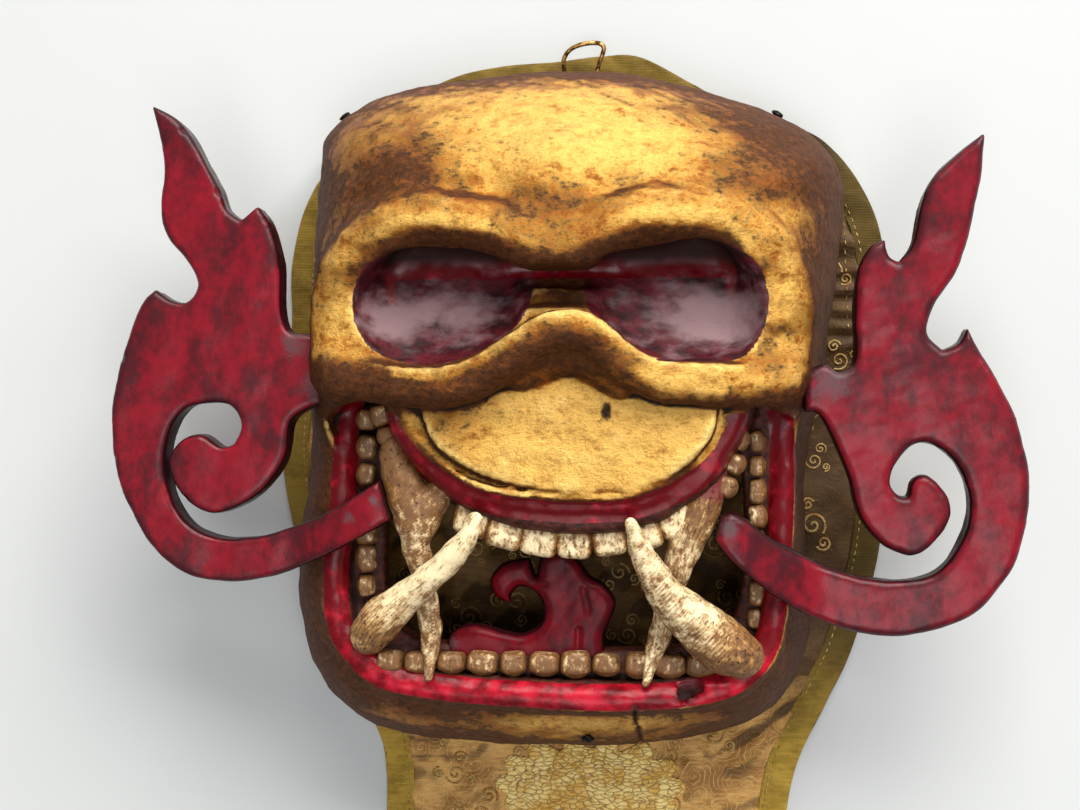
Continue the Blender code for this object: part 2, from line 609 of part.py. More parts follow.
def block_mesh(name, blocks):
    """Separate bevelled blocks in one mesh; each has a centre, size and turn."""
    work = bmesh.new()
    shift = Vector((OUTLINE_MIDDLE[0], OUTLINE_MIDDLE[1], 0.0))
    for centre, size, turn in blocks:
        made = bmesh.ops.create_cube(work, size=1.0)["verts"]
        for corner in made:
            narrow = TOOTH_NARROWS if corner.co.z > 0 else 1.0
            local = Vector((corner.co.x * size[0] * narrow, corner.co.y * size[1] * narrow,
                            corner.co.z * size[2]))
            spun = Vector((local.x * math.cos(turn) - local.y * math.sin(turn),
                           local.x * math.sin(turn) + local.y * math.cos(turn), local.z))
            corner.co = (Vector(centre) + spun - shift) * MM
        edges = {edge for corner in made for edge in corner.link_edges
                 if all(end.co.z / MM > centre[2] for end in edge.verts)}
        bmesh.ops.bevel(work, geom=list(edges), offset=TOOTH_BEVEL * MM, segments=1,
                        affect="EDGES")
    mesh = bpy.data.meshes.new(name)
    work.to_mesh(mesh)
    work.free()
    return mesh


# ---- Finishes ----
def finish(name, colour, roughness, metallic=0.0):
    """A plain shader with the piece's colour."""
    made = bpy.data.materials.new(name)
    made.use_nodes = True
    shader = made.node_tree.nodes["Principled BSDF"]
    shader.inputs["Base Color"].default_value = (*colour, 1.0)
    shader.inputs["Roughness"].default_value = roughness
    shader.inputs["Metallic"].default_value = metallic
    made.diffuse_color = (*colour, 1.0)
    return made


# ---- Pieces ----
def teeth():
    """The small teeth, carved in one with the gums."""
    x, y, height = LOWER_ROW_START
    blocks = [((x + LOWER_ROW_PITCH * index, y, height), LOWER_TOOTH, 0.0)
              for index in range(LOWER_ROW_COUNT)]
    along = np.gradient(np.array(UPPER_ROW, float), axis=0)
    for (x, y), (run_x, run_y) in zip(UPPER_ROW, along):
        turn = math.atan2(-run_y, -run_x)
        blocks.append(((x, y, UPPER_ROW_HEIGHT), UPPER_TOOTH, turn))
    for x, top, pitch, count in SIDE_COLUMNS:
        for index in range(count):
            blocks.append(((x, top - pitch * index, SIDE_TOOTH_HEIGHT), SIDE_TOOTH, 0.0))
    return block_mesh("teeth", blocks)


def swollen(body):
    """A hidden copy of a piece, pushed out by the gap, that cuts its seat."""
    bpy.context.view_layer.update()
    source = body.evaluated_get(bpy.context.evaluated_depsgraph_get())
    mesh = bpy.data.meshes.new_from_object(source)
    work = bmesh.new()
    work.from_mesh(mesh)
    bmesh.ops.triangulate(work, faces=work.faces)
    work.normal_update()
    pushes = [corner.normal * SWELL * MM for corner in work.verts]
    for corner, push in zip(work.verts, pushes):
        corner.co += push
    work.to_mesh(mesh)
    work.free()
    mesh.materials.clear()
    return guide(f"seat_of_{body.name}", mesh)


def guide(name, mesh):
    """A hidden object that only cuts or joins."""
    made = add_object(name, mesh, None)
    made.hide_render = True
    made.display_type = "WIRE"
    return made


def combine(body, other, operation):
    """Joins or cuts a piece with a hidden object."""
    made = body.modifiers.new(other.name, "BOOLEAN")
    made.object = other
    made.operation = operation
    made.solver = "EXACT"


def make_shell(seats):
    """The mask itself, thinned to flat facets, with teeth joined and seats cut."""
    points, faces = carved_head(CARVING_STEP).skin()
    mesh = face_outwards(mesh_from("mask_shell", points, faces))
    shell = add_object("mask_shell", mesh, finish("worn_gilding", (0.46, 0.26, 0.08), 0.42, 0.5))
    thin = shell.modifiers.new("facets", "DECIMATE")
    thin.ratio = SHELL_FACETS / (2.0 * len(faces))
    combine(shell, guide("small_teeth", teeth()), "UNION")
    for seat in seats:
        combine(shell, swollen(seat), "DIFFERENCE")
    return shell


def make_ear(name, outline, corners, arm):
    """One flame-and-spiral board with softened edges and a rising arm."""
    curve = spline(outline, closed=True, corners=corners, steps=2)
    levels = (EAR_HEIGHT - EAR_THICK / 2, EAR_HEIGHT + EAR_THICK / 2)
    mesh = plate_mesh(name, curve, levels)
    bend_arm(mesh, *arm)
    ear = add_object(name, mesh, finish(f"{name}_red_lacquer", (0.27, 0.02, 0.03), 0.35))
    soften_front(ear, EAR_BEVEL)
    return ear


def soften_front(board, width):
    """Chamfers the edges round a board's front face."""
    work = bmesh.new()
    work.from_mesh(board.data)
    work.normal_update()
    weight = work.edges.layers.float.new("bevel_weight_edge")
    for edge in work.edges:
        tops = [face.normal.z for face in edge.link_faces]
        edge[weight] = float(max(tops) > 0.6 and min(tops) < 0.3)
    work.to_mesh(board.data)
    work.free()
    soften = board.modifiers.new("worn_edge", "BEVEL")
    soften.width = width * MM
    soften.segments = 1
    soften.limit_method = "WEIGHT"


def make_tongue():
    """The red cloud that stands for the tongue."""
    curve = spline(TONGUE_OUTLINE, closed=True, corners=TONGUE_CORNERS, steps=2)
    levels = (TONGUE_HEIGHT - TONGUE_THICK / 2, TONGUE_HEIGHT + TONGUE_THICK / 2)
    tongue = add_object("tongue", plate_mesh("tongue", curve, levels),
                        finish("tongue_red", (0.24, 0.01, 0.02), 0.3))
    soften_front(tongue, TONGUE_BEVEL)
    return tongue


def make_horns():
    """Two tusks from the lower jaw and two long fangs from the upper one."""
    ivory = finish("old_ivory_paint", (0.66, 0.52, 0.32), 0.45)
    horns = []
    for name, points, flat in (("lower_tusk_left", TUSK_LEFT, TUSK_FLAT),
                               ("lower_tusk_right", TUSK_RIGHT, TUSK_FLAT),
                               ("upper_fang_left", FANG_LEFT, FANG_FLAT),
                               ("upper_fang_right", FANG_RIGHT, FANG_FLAT)):
        mesh = tube_mesh(name, horn_curve(points, 2), HORN_SIDES, flat)
        horns.append(add_object(name, mesh, ivory))
    return horns


def make_loop():
    """The wire that the mask is hung by, its ends let into the top edge."""
    curve = spline([(*point, WIRE_RADIUS) for point in WIRE_PATH], steps=2)
    brass = finish("tarnished_brass", (0.36, 0.22, 0.1), 0.4, 0.9)
    return add_object("hanging_loop", tube_mesh("hanging_loop", curve, WIRE_SIDES), brass)


def make_nails():
    """Round-headed iron nails that hold the hood to the rim."""
    iron = finish("dark_iron", (0.03, 0.025, 0.02), 0.6, 0.7)
    nails = []
    for name, (place, facing) in NAILS.items():
        out = np.array(facing) / np.linalg.norm(facing)
        curve = np.array([(*(np.array(place) + out * along), wide)
                          for along, wide in NAIL_PROFILE])
        nails.append(add_object(name, tube_mesh(name, curve, NAIL_SIDES), iron))
    return nails


def make_hood():
    """The brocade panel and the plain silk border around it."""
    outer = spline(HOOD_OUTLINE, closed=True, corners=HOOD_CORNERS, steps=2)
    inner = inset_outline(outer, BORDER_WIDTH)
    panel = inset_outline(outer, BORDER_WIDTH + GAP)
    brocade = finish("silk_brocade", (0.45, 0.3, 0.13), 0.5)
    add_object("hood_brocade", plate_mesh("hood_brocade", panel, (0.0, CLOTH_THICK)), brocade)
    olive = finish("olive_silk", (0.2, 0.15, 0.04), 0.6)
    count = len(outer)
    points = [(*pair, level) for level in (0.0, CLOTH_THICK) for ring in (outer, inner)
              for pair in ring]
    faces = []
    for index in range(count):
        after = (index + 1) % count
        for a, b in ((0, 1), (1, 3), (3, 2), (2, 0)):
            faces.append([a * count + index, a * count + after, b * count + after,
                          b * count + index])
    mesh = face_outwards(mesh_from("hood_border", points, faces))
    add_object("hood_border", mesh, olive)


def inset_outline(outline, width):
    """Moves a closed outline inwards by a width."""
    before, after = np.roll(outline, 1, axis=0), np.roll(outline, -1, axis=0)
    lead, trail = after - outline, outline - before
    lead /= np.linalg.norm(lead, axis=1)[:, None]
    trail /= np.linalg.norm(trail, axis=1)[:, None]
    turn_in = np.stack([lead[:, 1] + trail[:, 1], -lead[:, 0] - trail[:, 0]], axis=1)
    turn_in /= np.linalg.norm(turn_in, axis=1)[:, None]
    across = np.abs(turn_in[:, 0] * trail[:, 1] - turn_in[:, 1] * trail[:, 0])
    return outline + turn_in * (width / np.maximum(across, 0.5))[:, None]


def main():
    """Clears the scene and makes every piece."""
    for old in list(bpy.data.objects):
        bpy.data.objects.remove(old)
    make_hood()
    ears = [make_ear("scroll_left", EAR_LEFT, EAR_LEFT_CORNERS, LEFT_ARM),
            make_ear("scroll_right", EAR_RIGHT, EAR_RIGHT_CORNERS, RIGHT_ARM)]
    seated = ears + [make_tongue()] + make_horns() + make_nails() + [make_loop()]
    make_shell(seated)


main()
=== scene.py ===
"""The looks of a carved and gilded guardian mask that lies face up on its open silk hood.

Inside the classes, lengths are millimetres counted from the bridge of the mask's nose: +X to
the viewer's right, +Y towards the brow, +Z out of the face. Bench turns them into the
frame's metres when a mesh is made.
"""
import logging
import math
from dataclasses import dataclass, field
from enum import Enum
from itertools import product

import bmesh
import bpy
import numpy as np
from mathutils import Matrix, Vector


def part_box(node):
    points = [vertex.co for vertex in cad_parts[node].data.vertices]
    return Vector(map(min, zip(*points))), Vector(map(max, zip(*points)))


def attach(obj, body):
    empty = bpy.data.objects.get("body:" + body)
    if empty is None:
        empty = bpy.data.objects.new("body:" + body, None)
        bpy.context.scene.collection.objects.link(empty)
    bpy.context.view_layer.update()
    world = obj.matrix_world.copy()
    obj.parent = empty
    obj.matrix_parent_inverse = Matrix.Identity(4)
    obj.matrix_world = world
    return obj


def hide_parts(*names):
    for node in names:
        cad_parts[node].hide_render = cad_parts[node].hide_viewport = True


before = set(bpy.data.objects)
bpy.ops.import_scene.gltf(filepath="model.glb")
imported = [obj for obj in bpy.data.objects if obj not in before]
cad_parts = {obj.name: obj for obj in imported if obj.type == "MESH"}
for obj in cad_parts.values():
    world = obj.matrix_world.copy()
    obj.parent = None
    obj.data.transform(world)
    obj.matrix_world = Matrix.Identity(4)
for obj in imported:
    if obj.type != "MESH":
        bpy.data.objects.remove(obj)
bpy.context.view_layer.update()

BODY = "root"
MM = 0.001
FAR = 1000.0

Outline = tuple[tuple[float, ...], ...]
Place = tuple[float, float, float]
log = logging.getLogger("mask")


# ---- Curves and outlines ----
def spline(points: Outline, closed: bool = False, corners: tuple[int, ...] = (),
           steps: int = 4) -> np.ndarray:
    """Runs a smooth curve through the points, sharp at those listed in corners.

    Args:
        points: The points, each of any number of coordinates.
        closed: Whether the curve comes back to its first point.
        corners: Which points stay sharp.
        steps: How many pieces each stretch is cut into.

    Returns:
        The curve's points, one a row.
    """
    rows = [np.array(point, dtype=float) for point in points]
    count = len(rows)
    curve = []
    for index in range(count if closed else count - 1):
        start, end = rows[index], rows[(index + 1) % count]
        sharp_start = index in corners or not (closed or index)
        sharp_end = (index + 1) % count in corners or not (closed or index + 2 < count)
        before = 2 * start - end if sharp_start else rows[index - 1]
        after = 2 * end - start if sharp_end else rows[(index + 2) % count]
        for step in range(steps):
            t = step / steps
            curve.append(0.5 * (2 * start + (end - before) * t
                                + (2 * before - 5 * start + 4 * end - after) * t ** 2
                                + (3 * start - before - 3 * end + after) * t ** 3))
    if not closed:
        curve.append(rows[-1])
    return np.array(curve)


def ease(low: float, high: float, value: np.ndarray | float) -> np.ndarray | float:
    """Rises smoothly from 0 at low to 1 at high.

    Args:
        low: Where the rise starts.
        high: Where it ends; it may be under low.
        value: The number or numbers to place.

    Returns:
        The share for each number, from 0 to 1.
    """
    t = np.clip((value - low) / (high - low), 0.0, 1.0)
    return t * t * (3.0 - 2.0 * t)


def depth_inside(outline: np.ndarray, x: np.ndarray, y: np.ndarray) -> np.ndarray:
    """Measures how far points lie inside a closed outline.

    Args:
        outline: The outline's corners, one a row.
        x: The points' places across.
        y: The points' places up.

    Returns:
        The distance to the outline, negative outside it.
    """
    nearest = np.full(np.broadcast(x, y).shape, FAR, np.float32)
    odd = np.zeros(nearest.shape, bool)
    for (ax, ay), (bx, by) in zip(outline, np.roll(outline, -1, axis=0)):
        ex, ey = bx - ax, by - ay
        along = np.clip(((x - ax) * ex + (y - ay) * ey) / (ex * ex + ey * ey), 0.0, 1.0)
        nearest = np.minimum(nearest, np.hypot(x - ax - along * ex, y - ay - along * ey))
        if ay != by:
            crosses = (ay > y) != (by > y)
            odd ^= crosses & (x < ax + (y - ay) * ex / ey)
    return np.where(odd, nearest, -nearest)


def even_out(depth: np.ndarray, step: float, reach: float = 15.0) -> np.ndarray:
    """Averages a map of depths over a short reach, so that its corners leave no crease.

    Args:
        depth: The map, with a last side of one.
        step: The map's spacing.
        reach: How far the average looks.

    Returns:
        The evened map, of the same shape.
    """
    size = max(int(reach / step), 1)
    kernel = np.hanning(2 * size + 1)
    kernel /= kernel.sum()
    padded = np.pad(depth[:, :, 0], size, mode="edge")
    for length in depth.shape[:2]:
        padded = sum(weight * padded[index:index + length]
                     for index, weight in enumerate(kernel)).T
    return padded[:, :, None].astype(np.float32)


def ripple(x: np.ndarray, y: np.ndarray, z: np.ndarray | float, size: float,
           seed: int) -> np.ndarray:
    """Sums slow waves into an uneven surface, as a knife or a fold leaves it.

    Args:
        x: Places across.
        y: Places up.
        z: Heights.
        size: The usual distance from one crest to the next.
        seed: Picks the waves.

    Returns:
        Numbers from about -1 to 1, one for each place.
    """
    rng = np.random.default_rng(seed)
    total, waves = 0.0, 7
    for _ in range(waves):
        way = rng.normal(size=3)
        way *= 2 * math.pi / (np.linalg.norm(way) * size * rng.uniform(0.6, 1.5))
        total = total + np.sin(x * way[0] + y * way[1] + z * way[2] + rng.uniform(0, 6.3))
    return total / math.sqrt(waves)


def spot(x: np.ndarray, y: np.ndarray, cx: float, cy: float, wide: float,
         tall: float) -> np.ndarray:
    """Fades a round spot from 1 at its centre to almost nothing at twice its size.

    Args:
        x: Places across.
        y: Places up.
        cx: The centre's place across.
        cy: The centre's place up.
        wide: The spot's size across.
        tall: Its size up.

    Returns:
        The spot's strength at each place.
    """
    return np.exp(-((x - cx) / wide) ** 2 - ((y - cy) / tall) ** 2)


def pillow(depth: np.ndarray, height: np.ndarray, tall: np.ndarray | float,
           rounding: np.ndarray | float, power: float = 2.2) -> np.ndarray:
    """Shapes a hill with a rounded edge, or a bowl, as distances to its surface.

    Args:
        depth: Depth inside the hill's outline.
        height: Height over its foot.
        tall: How high it stands.
        rounding: How far in from the outline its edge is rounded.
        power: 2 for a round edge, more for a squarer one.

    Returns:
        Distances to the hill's surface, negative inside it.
    """
    side = np.maximum(1.0 - depth / rounding, 1e-3)
    rise = np.maximum(height / tall, 1e-3)
    size = (side ** power + rise ** power) ** (1.0 / power)
    slope = np.hypot(side ** (power - 1) / rounding, rise ** (power - 1) / tall)
    return np.maximum((size - 1.0) * size ** (power - 1) / slope, -30.0)


# ---- Carving: a block held as distances to its surface on an even grid ----
class Block:
    """Wood that forms are added to and carved from, blended where they meet."""

    def __init__(self, low: Place, high: Place, step: float) -> None:
        """Lays out an empty grid.

        Args:
            low: Its lowest corner.
            high: Its highest corner.
            step: How far apart its points are.
        """
        self.step = step
        self.low = np.array(low, float)
        axes = [np.arange(a, b + step, step, dtype=np.float32) for a, b in zip(low, high)]
        self.x, self.y, self.z = np.meshgrid(*axes, indexing="ij", sparse=True)
        self.field = np.full([len(axis) for axis in axes], FAR, np.float32)

    def window(self, low: np.ndarray, high: np.ndarray) -> tuple[slice, ...]:
        """Finds the part of the grid inside a box.

        Args:
            low: The box's lowest corner.
            high: Its highest corner.

        Returns:
            One slice for each side of the grid.
        """
        first = np.floor((np.array(low) - self.low) / self.step).astype(int)
        last = np.ceil((np.array(high) - self.low) / self.step).astype(int) + 1
        first = np.clip(first, 0, self.field.shape)
        last = np.clip(last, 0, self.field.shape)
        return tuple(slice(a, b) for a, b in zip(first, last))

    def blend(self, form: np.ndarray, part: tuple[slice, ...], soft: float,
              carve: bool) -> None:
        """Adds or carves a form, rounding the join.

        Args:
            form: Distances to the form, over the part.
            part: The part of the grid that it was worked out on.
            soft: How wide the join is rounded.
            carve: Whether the form is taken away.
        """
        here = self.field[part]
        other, sign = (-form, -1.0) if carve else (form, 1.0)
        share = np.clip(0.5 + 0.5 * sign * (here - other) / soft, 0.0, 1.0)
        self.field[part] = here + (other - here) * share - sign * soft * share * (1.0 - share)

    def whole(self, form: np.ndarray, soft: float = 4.0, carve: bool = False) -> None:
        """Blends in a form that was worked out over the whole grid."""
        self.blend(form, (slice(None),) * 3, soft, carve)

    def band(self, points: Outline, soft: float = 6.0, carve: bool = False,
             steps: int = 5, flat: float = 1.0) -> None:
        """Adds or carves a round band along a curve.

        Args:
            points: The curve's points, each of x, y, height and radius.
            soft: How wide the join is rounded.
            carve: Whether the band is taken away.
            steps: How many straight pieces each stretch has.
            flat: How thick the band is for its width.
        """
        curve = spline(points, steps=steps)
        reach = curve[:, 3].max() + soft + 2 * self.step
        part = self.window(curve[:, :3].min(axis=0) - reach, curve[:, :3].max(axis=0) + reach)
        form = np.full(self.field[part].shape, FAR, np.float32)
        offset = [piece.start for piece in part]
        for start, end in zip(curve, curve[1:]):
            low = np.minimum(start, end)[:3] - reach
            high = np.maximum(start, end)[:3] + reach
            near = self.window(low, high)
            inner = tuple(slice(p.start - o, p.stop - o) for p, o in zip(near, offset))
            x, y, z = self.x[near[0]], self.y[:, near[1]], self.z[:, :, near[2]]
            run = end[:3] - start[:3]
            along = ((x - start[0]) * run[0] + (y - start[1]) * run[1] + (z - start[2]) * run[2])
            along = np.clip(along / (run @ run), 0.0, 1.0)
            away = np.sqrt((x - start[0] - along * run[0]) ** 2
                           + (y - start[1] - along * run[1]) ** 2
                           + ((z - start[2] - along * run[2]) / flat) ** 2)
            away = away - start[3] - along * (end[3] - start[3])
            form[inner] = np.minimum(form[inner], away * min(flat, 1.0))
        self.blend(form, part, soft, carve)

    def close_pinches(self) -> None:
        """Fills the grid squares where two parts of the wood would meet at an edge only."""
        for first, second in ((0, 1), (0, 2), (1, 2)) * 3:
            values = np.moveaxis(self.field, (first, second), (0, 1))
            solid = values < 0.0
            pinch = ((solid[:-1, :-1] == solid[1:, 1:]) & (solid[1:, :-1] == solid[:-1, 1:])
                     & (solid[:-1, :-1] != solid[1:, :-1]))
            filled = np.where(pinch, -0.1 * self.step, FAR)
            for i, j in product((0, 1), repeat=2):
                corner = values[i:i + pinch.shape[0], j:j + pinch.shape[1]]
                np.minimum(corner, filled, out=corner)

    def skin(self) -> tuple[np.ndarray, np.ndarray]:
        """Finds the surface of the wood.

        Returns:
            Its corner points, and its four-sided faces, turned outwards.
        """
        self.close_pinches()
        solid = self.field < 0.0
        shape = np.array(solid.shape) - 1
        ends = [np.array(end) for end in product((0, 1), repeat=3)]
        count = sum(solid[i:i + shape[0], j:j + shape[1], k:k + shape[2]].astype(np.int8)
                    for i, j, k in ends)
        cells = np.argwhere((count > 0) & (count < 8))
        number = np.full(shape, -1, np.int64)
        number[tuple(cells.T)] = np.arange(len(cells))
        total = np.zeros((len(cells), 3))
        hits = np.zeros(len(cells))
        for a, b in product(ends, ends):
            if (b - a).sum() != 1 or (b - a).min() < 0:
                continue
            value_a = self.field[tuple((cells + a).T)]
            value_b = self.field[tuple((cells + b).T)]
            cross = (value_a < 0.0) != (value_b < 0.0)
            share = np.where(cross, value_a / np.where(cross, value_a - value_b, 1.0), 0.0)
            total += cross[:, None] * (a + share[:, None] * (b - a))
            hits += cross
        points = self.low + (cells + total / hits[:, None]) * self.step
        faces = []
        for axis in range(3):
            side_u, side_v = np.eye(3, dtype=int)[[(axis + 1) % 3, (axis + 2) % 3]]
            first = np.moveaxis(np.moveaxis(solid, axis, 0)[:-1], 0, axis)
            second = np.moveaxis(np.moveaxis(solid, axis, 0)[1:], 0, axis)
            for entering in (False, True):
                edges = np.argwhere(second & ~first if entering else first & ~second)
                ring = [edges, edges - side_u, edges - side_u - side_v, edges - side_v]
                if entering:
                    ring.reverse()
                faces.append(np.stack([number[tuple(cell.T)] for cell in ring], axis=1))
        return points, np.concatenate(faces)

    def fullness(self, reach: float) -> np.ndarray:
        """Averages the wood over a small cube round each grid point.

        Args:
            reach: Half the cube's side.

        Returns:
            The share of wood: half on a flat face, more in a hollow, less on an edge.
        """
        size = max(int(round(reach / self.step)), 1)
        full = (self.field < 0.0).astype(np.float32)
        for axis in range(3):
            pads = [(0, 0)] * 3
            pads[axis] = (size + 1, size)
            total = np.cumsum(np.pad(full, pads, mode="edge"), axis=axis, dtype=np.float64)
            length = full.shape[axis]
            upper = np.take(total, np.arange(2 * size + 1, 2 * size + 1 + length), axis=axis)
            lower = np.take(total, np.arange(0, length), axis=axis)
            full = ((upper - lower) / (2 * size + 1)).astype(np.float32)
        return full

    def read(self, values: np.ndarray, points: np.ndarray) -> np.ndarray:
        """Reads a map of the grid at places between its points.

        Args:
            values: The map, of the grid's shape.
            points: The places, one a row.

        Returns:
            One number for each place.
        """
        place = (points - self.low) / self.step
        cell = np.clip(place.astype(int), 0, np.array(values.shape) - 2)
        share = np.clip(place - cell, 0.0, 1.0)
        total = np.zeros(len(points))
        for corner in product((0, 1), repeat=3):
            weight = np.prod(np.where(corner, share, 1.0 - share), axis=1)
            total += weight * values[tuple((cell + corner).T)]
        return total


# ---- From the bench to the frame ----
@dataclass(frozen=True)
class Bench:
    """Ties the maker's millimetres to the frame's metres."""

    shift: tuple[float, float]

    def to_frame(self, points: np.ndarray) -> np.ndarray:
        """Turns bench millimetres into frame metres."""
        return (np.asarray(points, float) + (*self.shift, 0.0)) * MM

    def mesh(self, name: str, points: np.ndarray, faces: np.ndarray | list) -> bpy.types.Mesh:
        """Makes a smooth closed mesh that faces outwards.

        Args:
            name: The mesh's name.
            points: Its corners in bench millimetres.
            faces: The corners of each face.

        Returns:
            The mesh, in frame metres.
        """
        mesh = bpy.data.meshes.new(name)
        rows = faces.tolist() if isinstance(faces, np.ndarray) else faces
        mesh.from_pydata(self.to_frame(points).tolist(), [], rows)
        mesh.validate()
        mesh.shade_smooth()
        work = bmesh.new()
        work.from_mesh(mesh)
        if work.calc_volume(signed=True) < 0.0:
            bmesh.ops.reverse_faces(work, faces=work.faces)
            work.to_mesh(mesh)
        work.free()
        return mesh

    def corners(self, mesh: bpy.types.Mesh) -> tuple[np.ndarray, np.ndarray]:
        """Reads a mesh back.

        Args:
            mesh: The mesh, in frame metres.

        Returns:
            Its corners in bench millimetres, and the way each one faces.
        """
        points = np.zeros(len(mesh.vertices) * 3)
        mesh.vertices.foreach_get("co", points)
        facing = np.zeros(len(mesh.vertices) * 3)
        mesh.vertex_normals.foreach_get("vector", facing)
        return points.reshape(-1, 3) / MM - (*self.shift, 0.0), facing.reshape(-1, 3)


def write_marks(mesh: bpy.types.Mesh, marks: dict[str, np.ndarray]) -> None:
    """Stores what the finishes read: a number or a vector for each corner of a mesh.

    Args:
        mesh: The mesh to mark.
        marks: The numbers under their names.
    """
    for name, values in marks.items():
        values = np.asarray(values, np.float32)
        flat = values.ndim == 1
        made = mesh.attributes.new(name, "FLOAT" if flat else "FLOAT_VECTOR", "POINT")
        made.data.foreach_set("value" if flat else "vector", values.ravel())


def add_object(name: str, data: bpy.types.ID) -> bpy.types.Object:
    """Puts an object in the scene.

    Args:
        name: The object's name.
        data: The mesh, lamp or camera that it carries.

    Returns:
        The object.
    """
    made = bpy.data.objects.new(name, data)
    bpy.context.scene.collection.objects.link(made)
    return made


def add_piece(name: str, mesh: bpy.types.Mesh, finish: bpy.types.Material,
              stands_for: tuple[str, ...] = ()) -> bpy.types.Object:
    """Puts a piece in the scene, riding on the mask.

    Args:
        name: The piece's name.
        mesh: Its mesh, in place.
        finish: Its material.
        stands_for: The CAD nodes that it takes the place of.

    Returns:
        The piece.
    """
    piece = add_object(name, mesh)
    if not mesh.materials:
        mesh.materials.append(finish)
    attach(piece, BODY)
    if stands_for:
        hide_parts(*stands_for)
    log.info("%s: %d faces", name, len(mesh.polygons))
    return piece


def bake_modifiers(piece: bpy.types.Object, name: str) -> bpy.types.Mesh:
    """Turns an object and its modifiers into a plain mesh, and removes the object.

    Args:
        piece: The object, linked to the scene.
        name: The new mesh's name.

    Returns:
        The plain mesh.
    """
    bpy.context.view_layer.update()
    live = piece.evaluated_get(bpy.context.evaluated_depsgraph_get())
    mesh = bpy.data.meshes.new_from_object(live)
    mesh.name = name
    bpy.data.objects.remove(piece)
    return mesh


# ---- Finishes ----
Socket = bpy.types.NodeSocket
MIX_COLOUR = {"data_type": "RGBA", "clamp_factor": True}
SOFT_STEP = {"interpolation_type": "SMOOTHSTEP"}


def colour(code: str) -> tuple[float, float, float, float]:
    """Turns an sRGB hex colour into the linear one that shaders take.

    Args:
        code: Six hex digits, with or without a leading #.

    Returns:
        Red, green, blue and a full alpha.
    """
    parts = [int(code.lstrip("#")[i:i + 2], 16) / 255 for i in (0, 2, 4)]
    linear = [c / 12.92 if c <= 0.04045 else ((c + 0.055) / 1.055) ** 2.4 for c in parts]
    return (*linear, 1.0)


@dataclass
class Recipe:
    """A node tree being written, one node at a time, and the shader that it ends in."""

    tree: bpy.types.NodeTree
    shader: bpy.types.Node | None = None

    def add(self, kind: str, settings: dict | None = None, inputs: dict | None = None,
            output: int | str = 0) -> Socket:
        """Adds a node with its settings and links.

        Args:
            kind: The node's type.
            settings: Values for its own settings.
            inputs: What goes into its sockets, as for fill.
            output: Which output is wanted.

        Returns:
            That output.
        """
        node = self.tree.nodes.new(kind)
        for key, value in (settings or {}).items():
            setattr(node, key, value)
        self.fill(node, inputs or {})
        return node.outputs[output]

    def fill(self, node: bpy.types.Node, inputs: dict) -> None:
        """Links patterns to a node's sockets, and sets plain values on the others.

        Args:
            node: The node.
            inputs: For each socket another node's output, a plain value, a colour's hex code
                or the name of a mark that the mesh carries.
        """
        for key, value in inputs.items():
            if isinstance(value, str) and value.startswith("#"):
                value = colour(value)
            elif isinstance(value, str):
                value = self.add("ShaderNodeAttribute", {"attribute_name": value}, output="Fac")
            if isinstance(value, Socket):
                self.tree.links.new(value, node.inputs[key])
            else:
                node.inputs[key].default_value = value

    def weigh(self, start: Socket | float | str, *terms: tuple[Socket | str, float]) -> Socket:
        """Adds several patterns together.

        Args:
            start: What the sum starts from.
            terms: Each pattern or mark with its weight.

        Returns:
            The sum.
        """
        for value, weight in terms:
            start = self.add("ShaderNodeMath", {"operation": "MULTIPLY_ADD"},
                             {0: value, 1: weight, 2: start})
        return start

    def coat(self, under: Socket | str, over: Socket | str, pattern: Socket, low: float,
             high: float, top: float = 1.0) -> tuple[Socket, Socket]:
        """Lays one colour over another where a pattern is strong.

        Args:
            under: The colour below, a pattern or a hex code.
            over: The colour laid on it.
            pattern: What decides where the coat lies.
            low: The pattern's strength where the coat starts.
            high: Its strength where the coat is full.
            top: How much the full coat covers, from 0 to 1.

        Returns:
            The colour, and how far the coat covers.
        """
        share = self.add("ShaderNodeMapRange", SOFT_STEP, {0: pattern, 1: low, 2: high, 4: top})
        return self.add("ShaderNodeMix", MIX_COLOUR, {0: share, 6: under, 7: over}, 2), share

    def mottle(self, size: float, detail: float = 4.0, rough: float = 0.6,
               stretch: Place = (1.0, 1.0, 1.0), along: str = "") -> Socket:
        """Lays uneven patches of a real size over a piece.

        Args:
            size: The patches' usual width in millimetres.
            detail: How many finer layers they have.
            rough: How strong the finer layers are.
            stretch: How much longer than wide they are each way.
            along: A mark whose own millimetres they follow; the piece's place if empty.

        Returns:
            The pattern, round about a half.
        """
        if along:
            place = self.add("ShaderNodeAttribute", {"attribute_name": along}, output="Vector")
        else:
            place = self.add("ShaderNodeTexCoord", output="Object")
            size *= MM
        scale = tuple(1.0 / (size * much) for much in stretch)
        place = self.add("ShaderNodeMapping", inputs={"Vector": place, "Scale": scale})
        return self.add("ShaderNodeTexNoise", inputs={"Vector": place, "Scale": 1.0,
                                                      "Detail": detail, "Roughness": rough})

    def join(self, sockets: dict[str, Socket | float], relief: Socket, depth: float,
             strength: Socket | float = 1.0) -> None:
        """Links patterns to the shader, and a height pattern to its relief.

        Args:
            sockets: What goes into each of the shader's sockets.
            relief: A height pattern that the light shows.
            depth: The relief's height in millimetres.
            strength: How much of the relief is left, from 0 to 1.
        """
        bump = {"Height": relief, "Distance": depth * MM, "Strength": strength}
        self.fill(self.shader, {**sockets, "Normal": self.add("ShaderNodeBump", inputs=bump)})


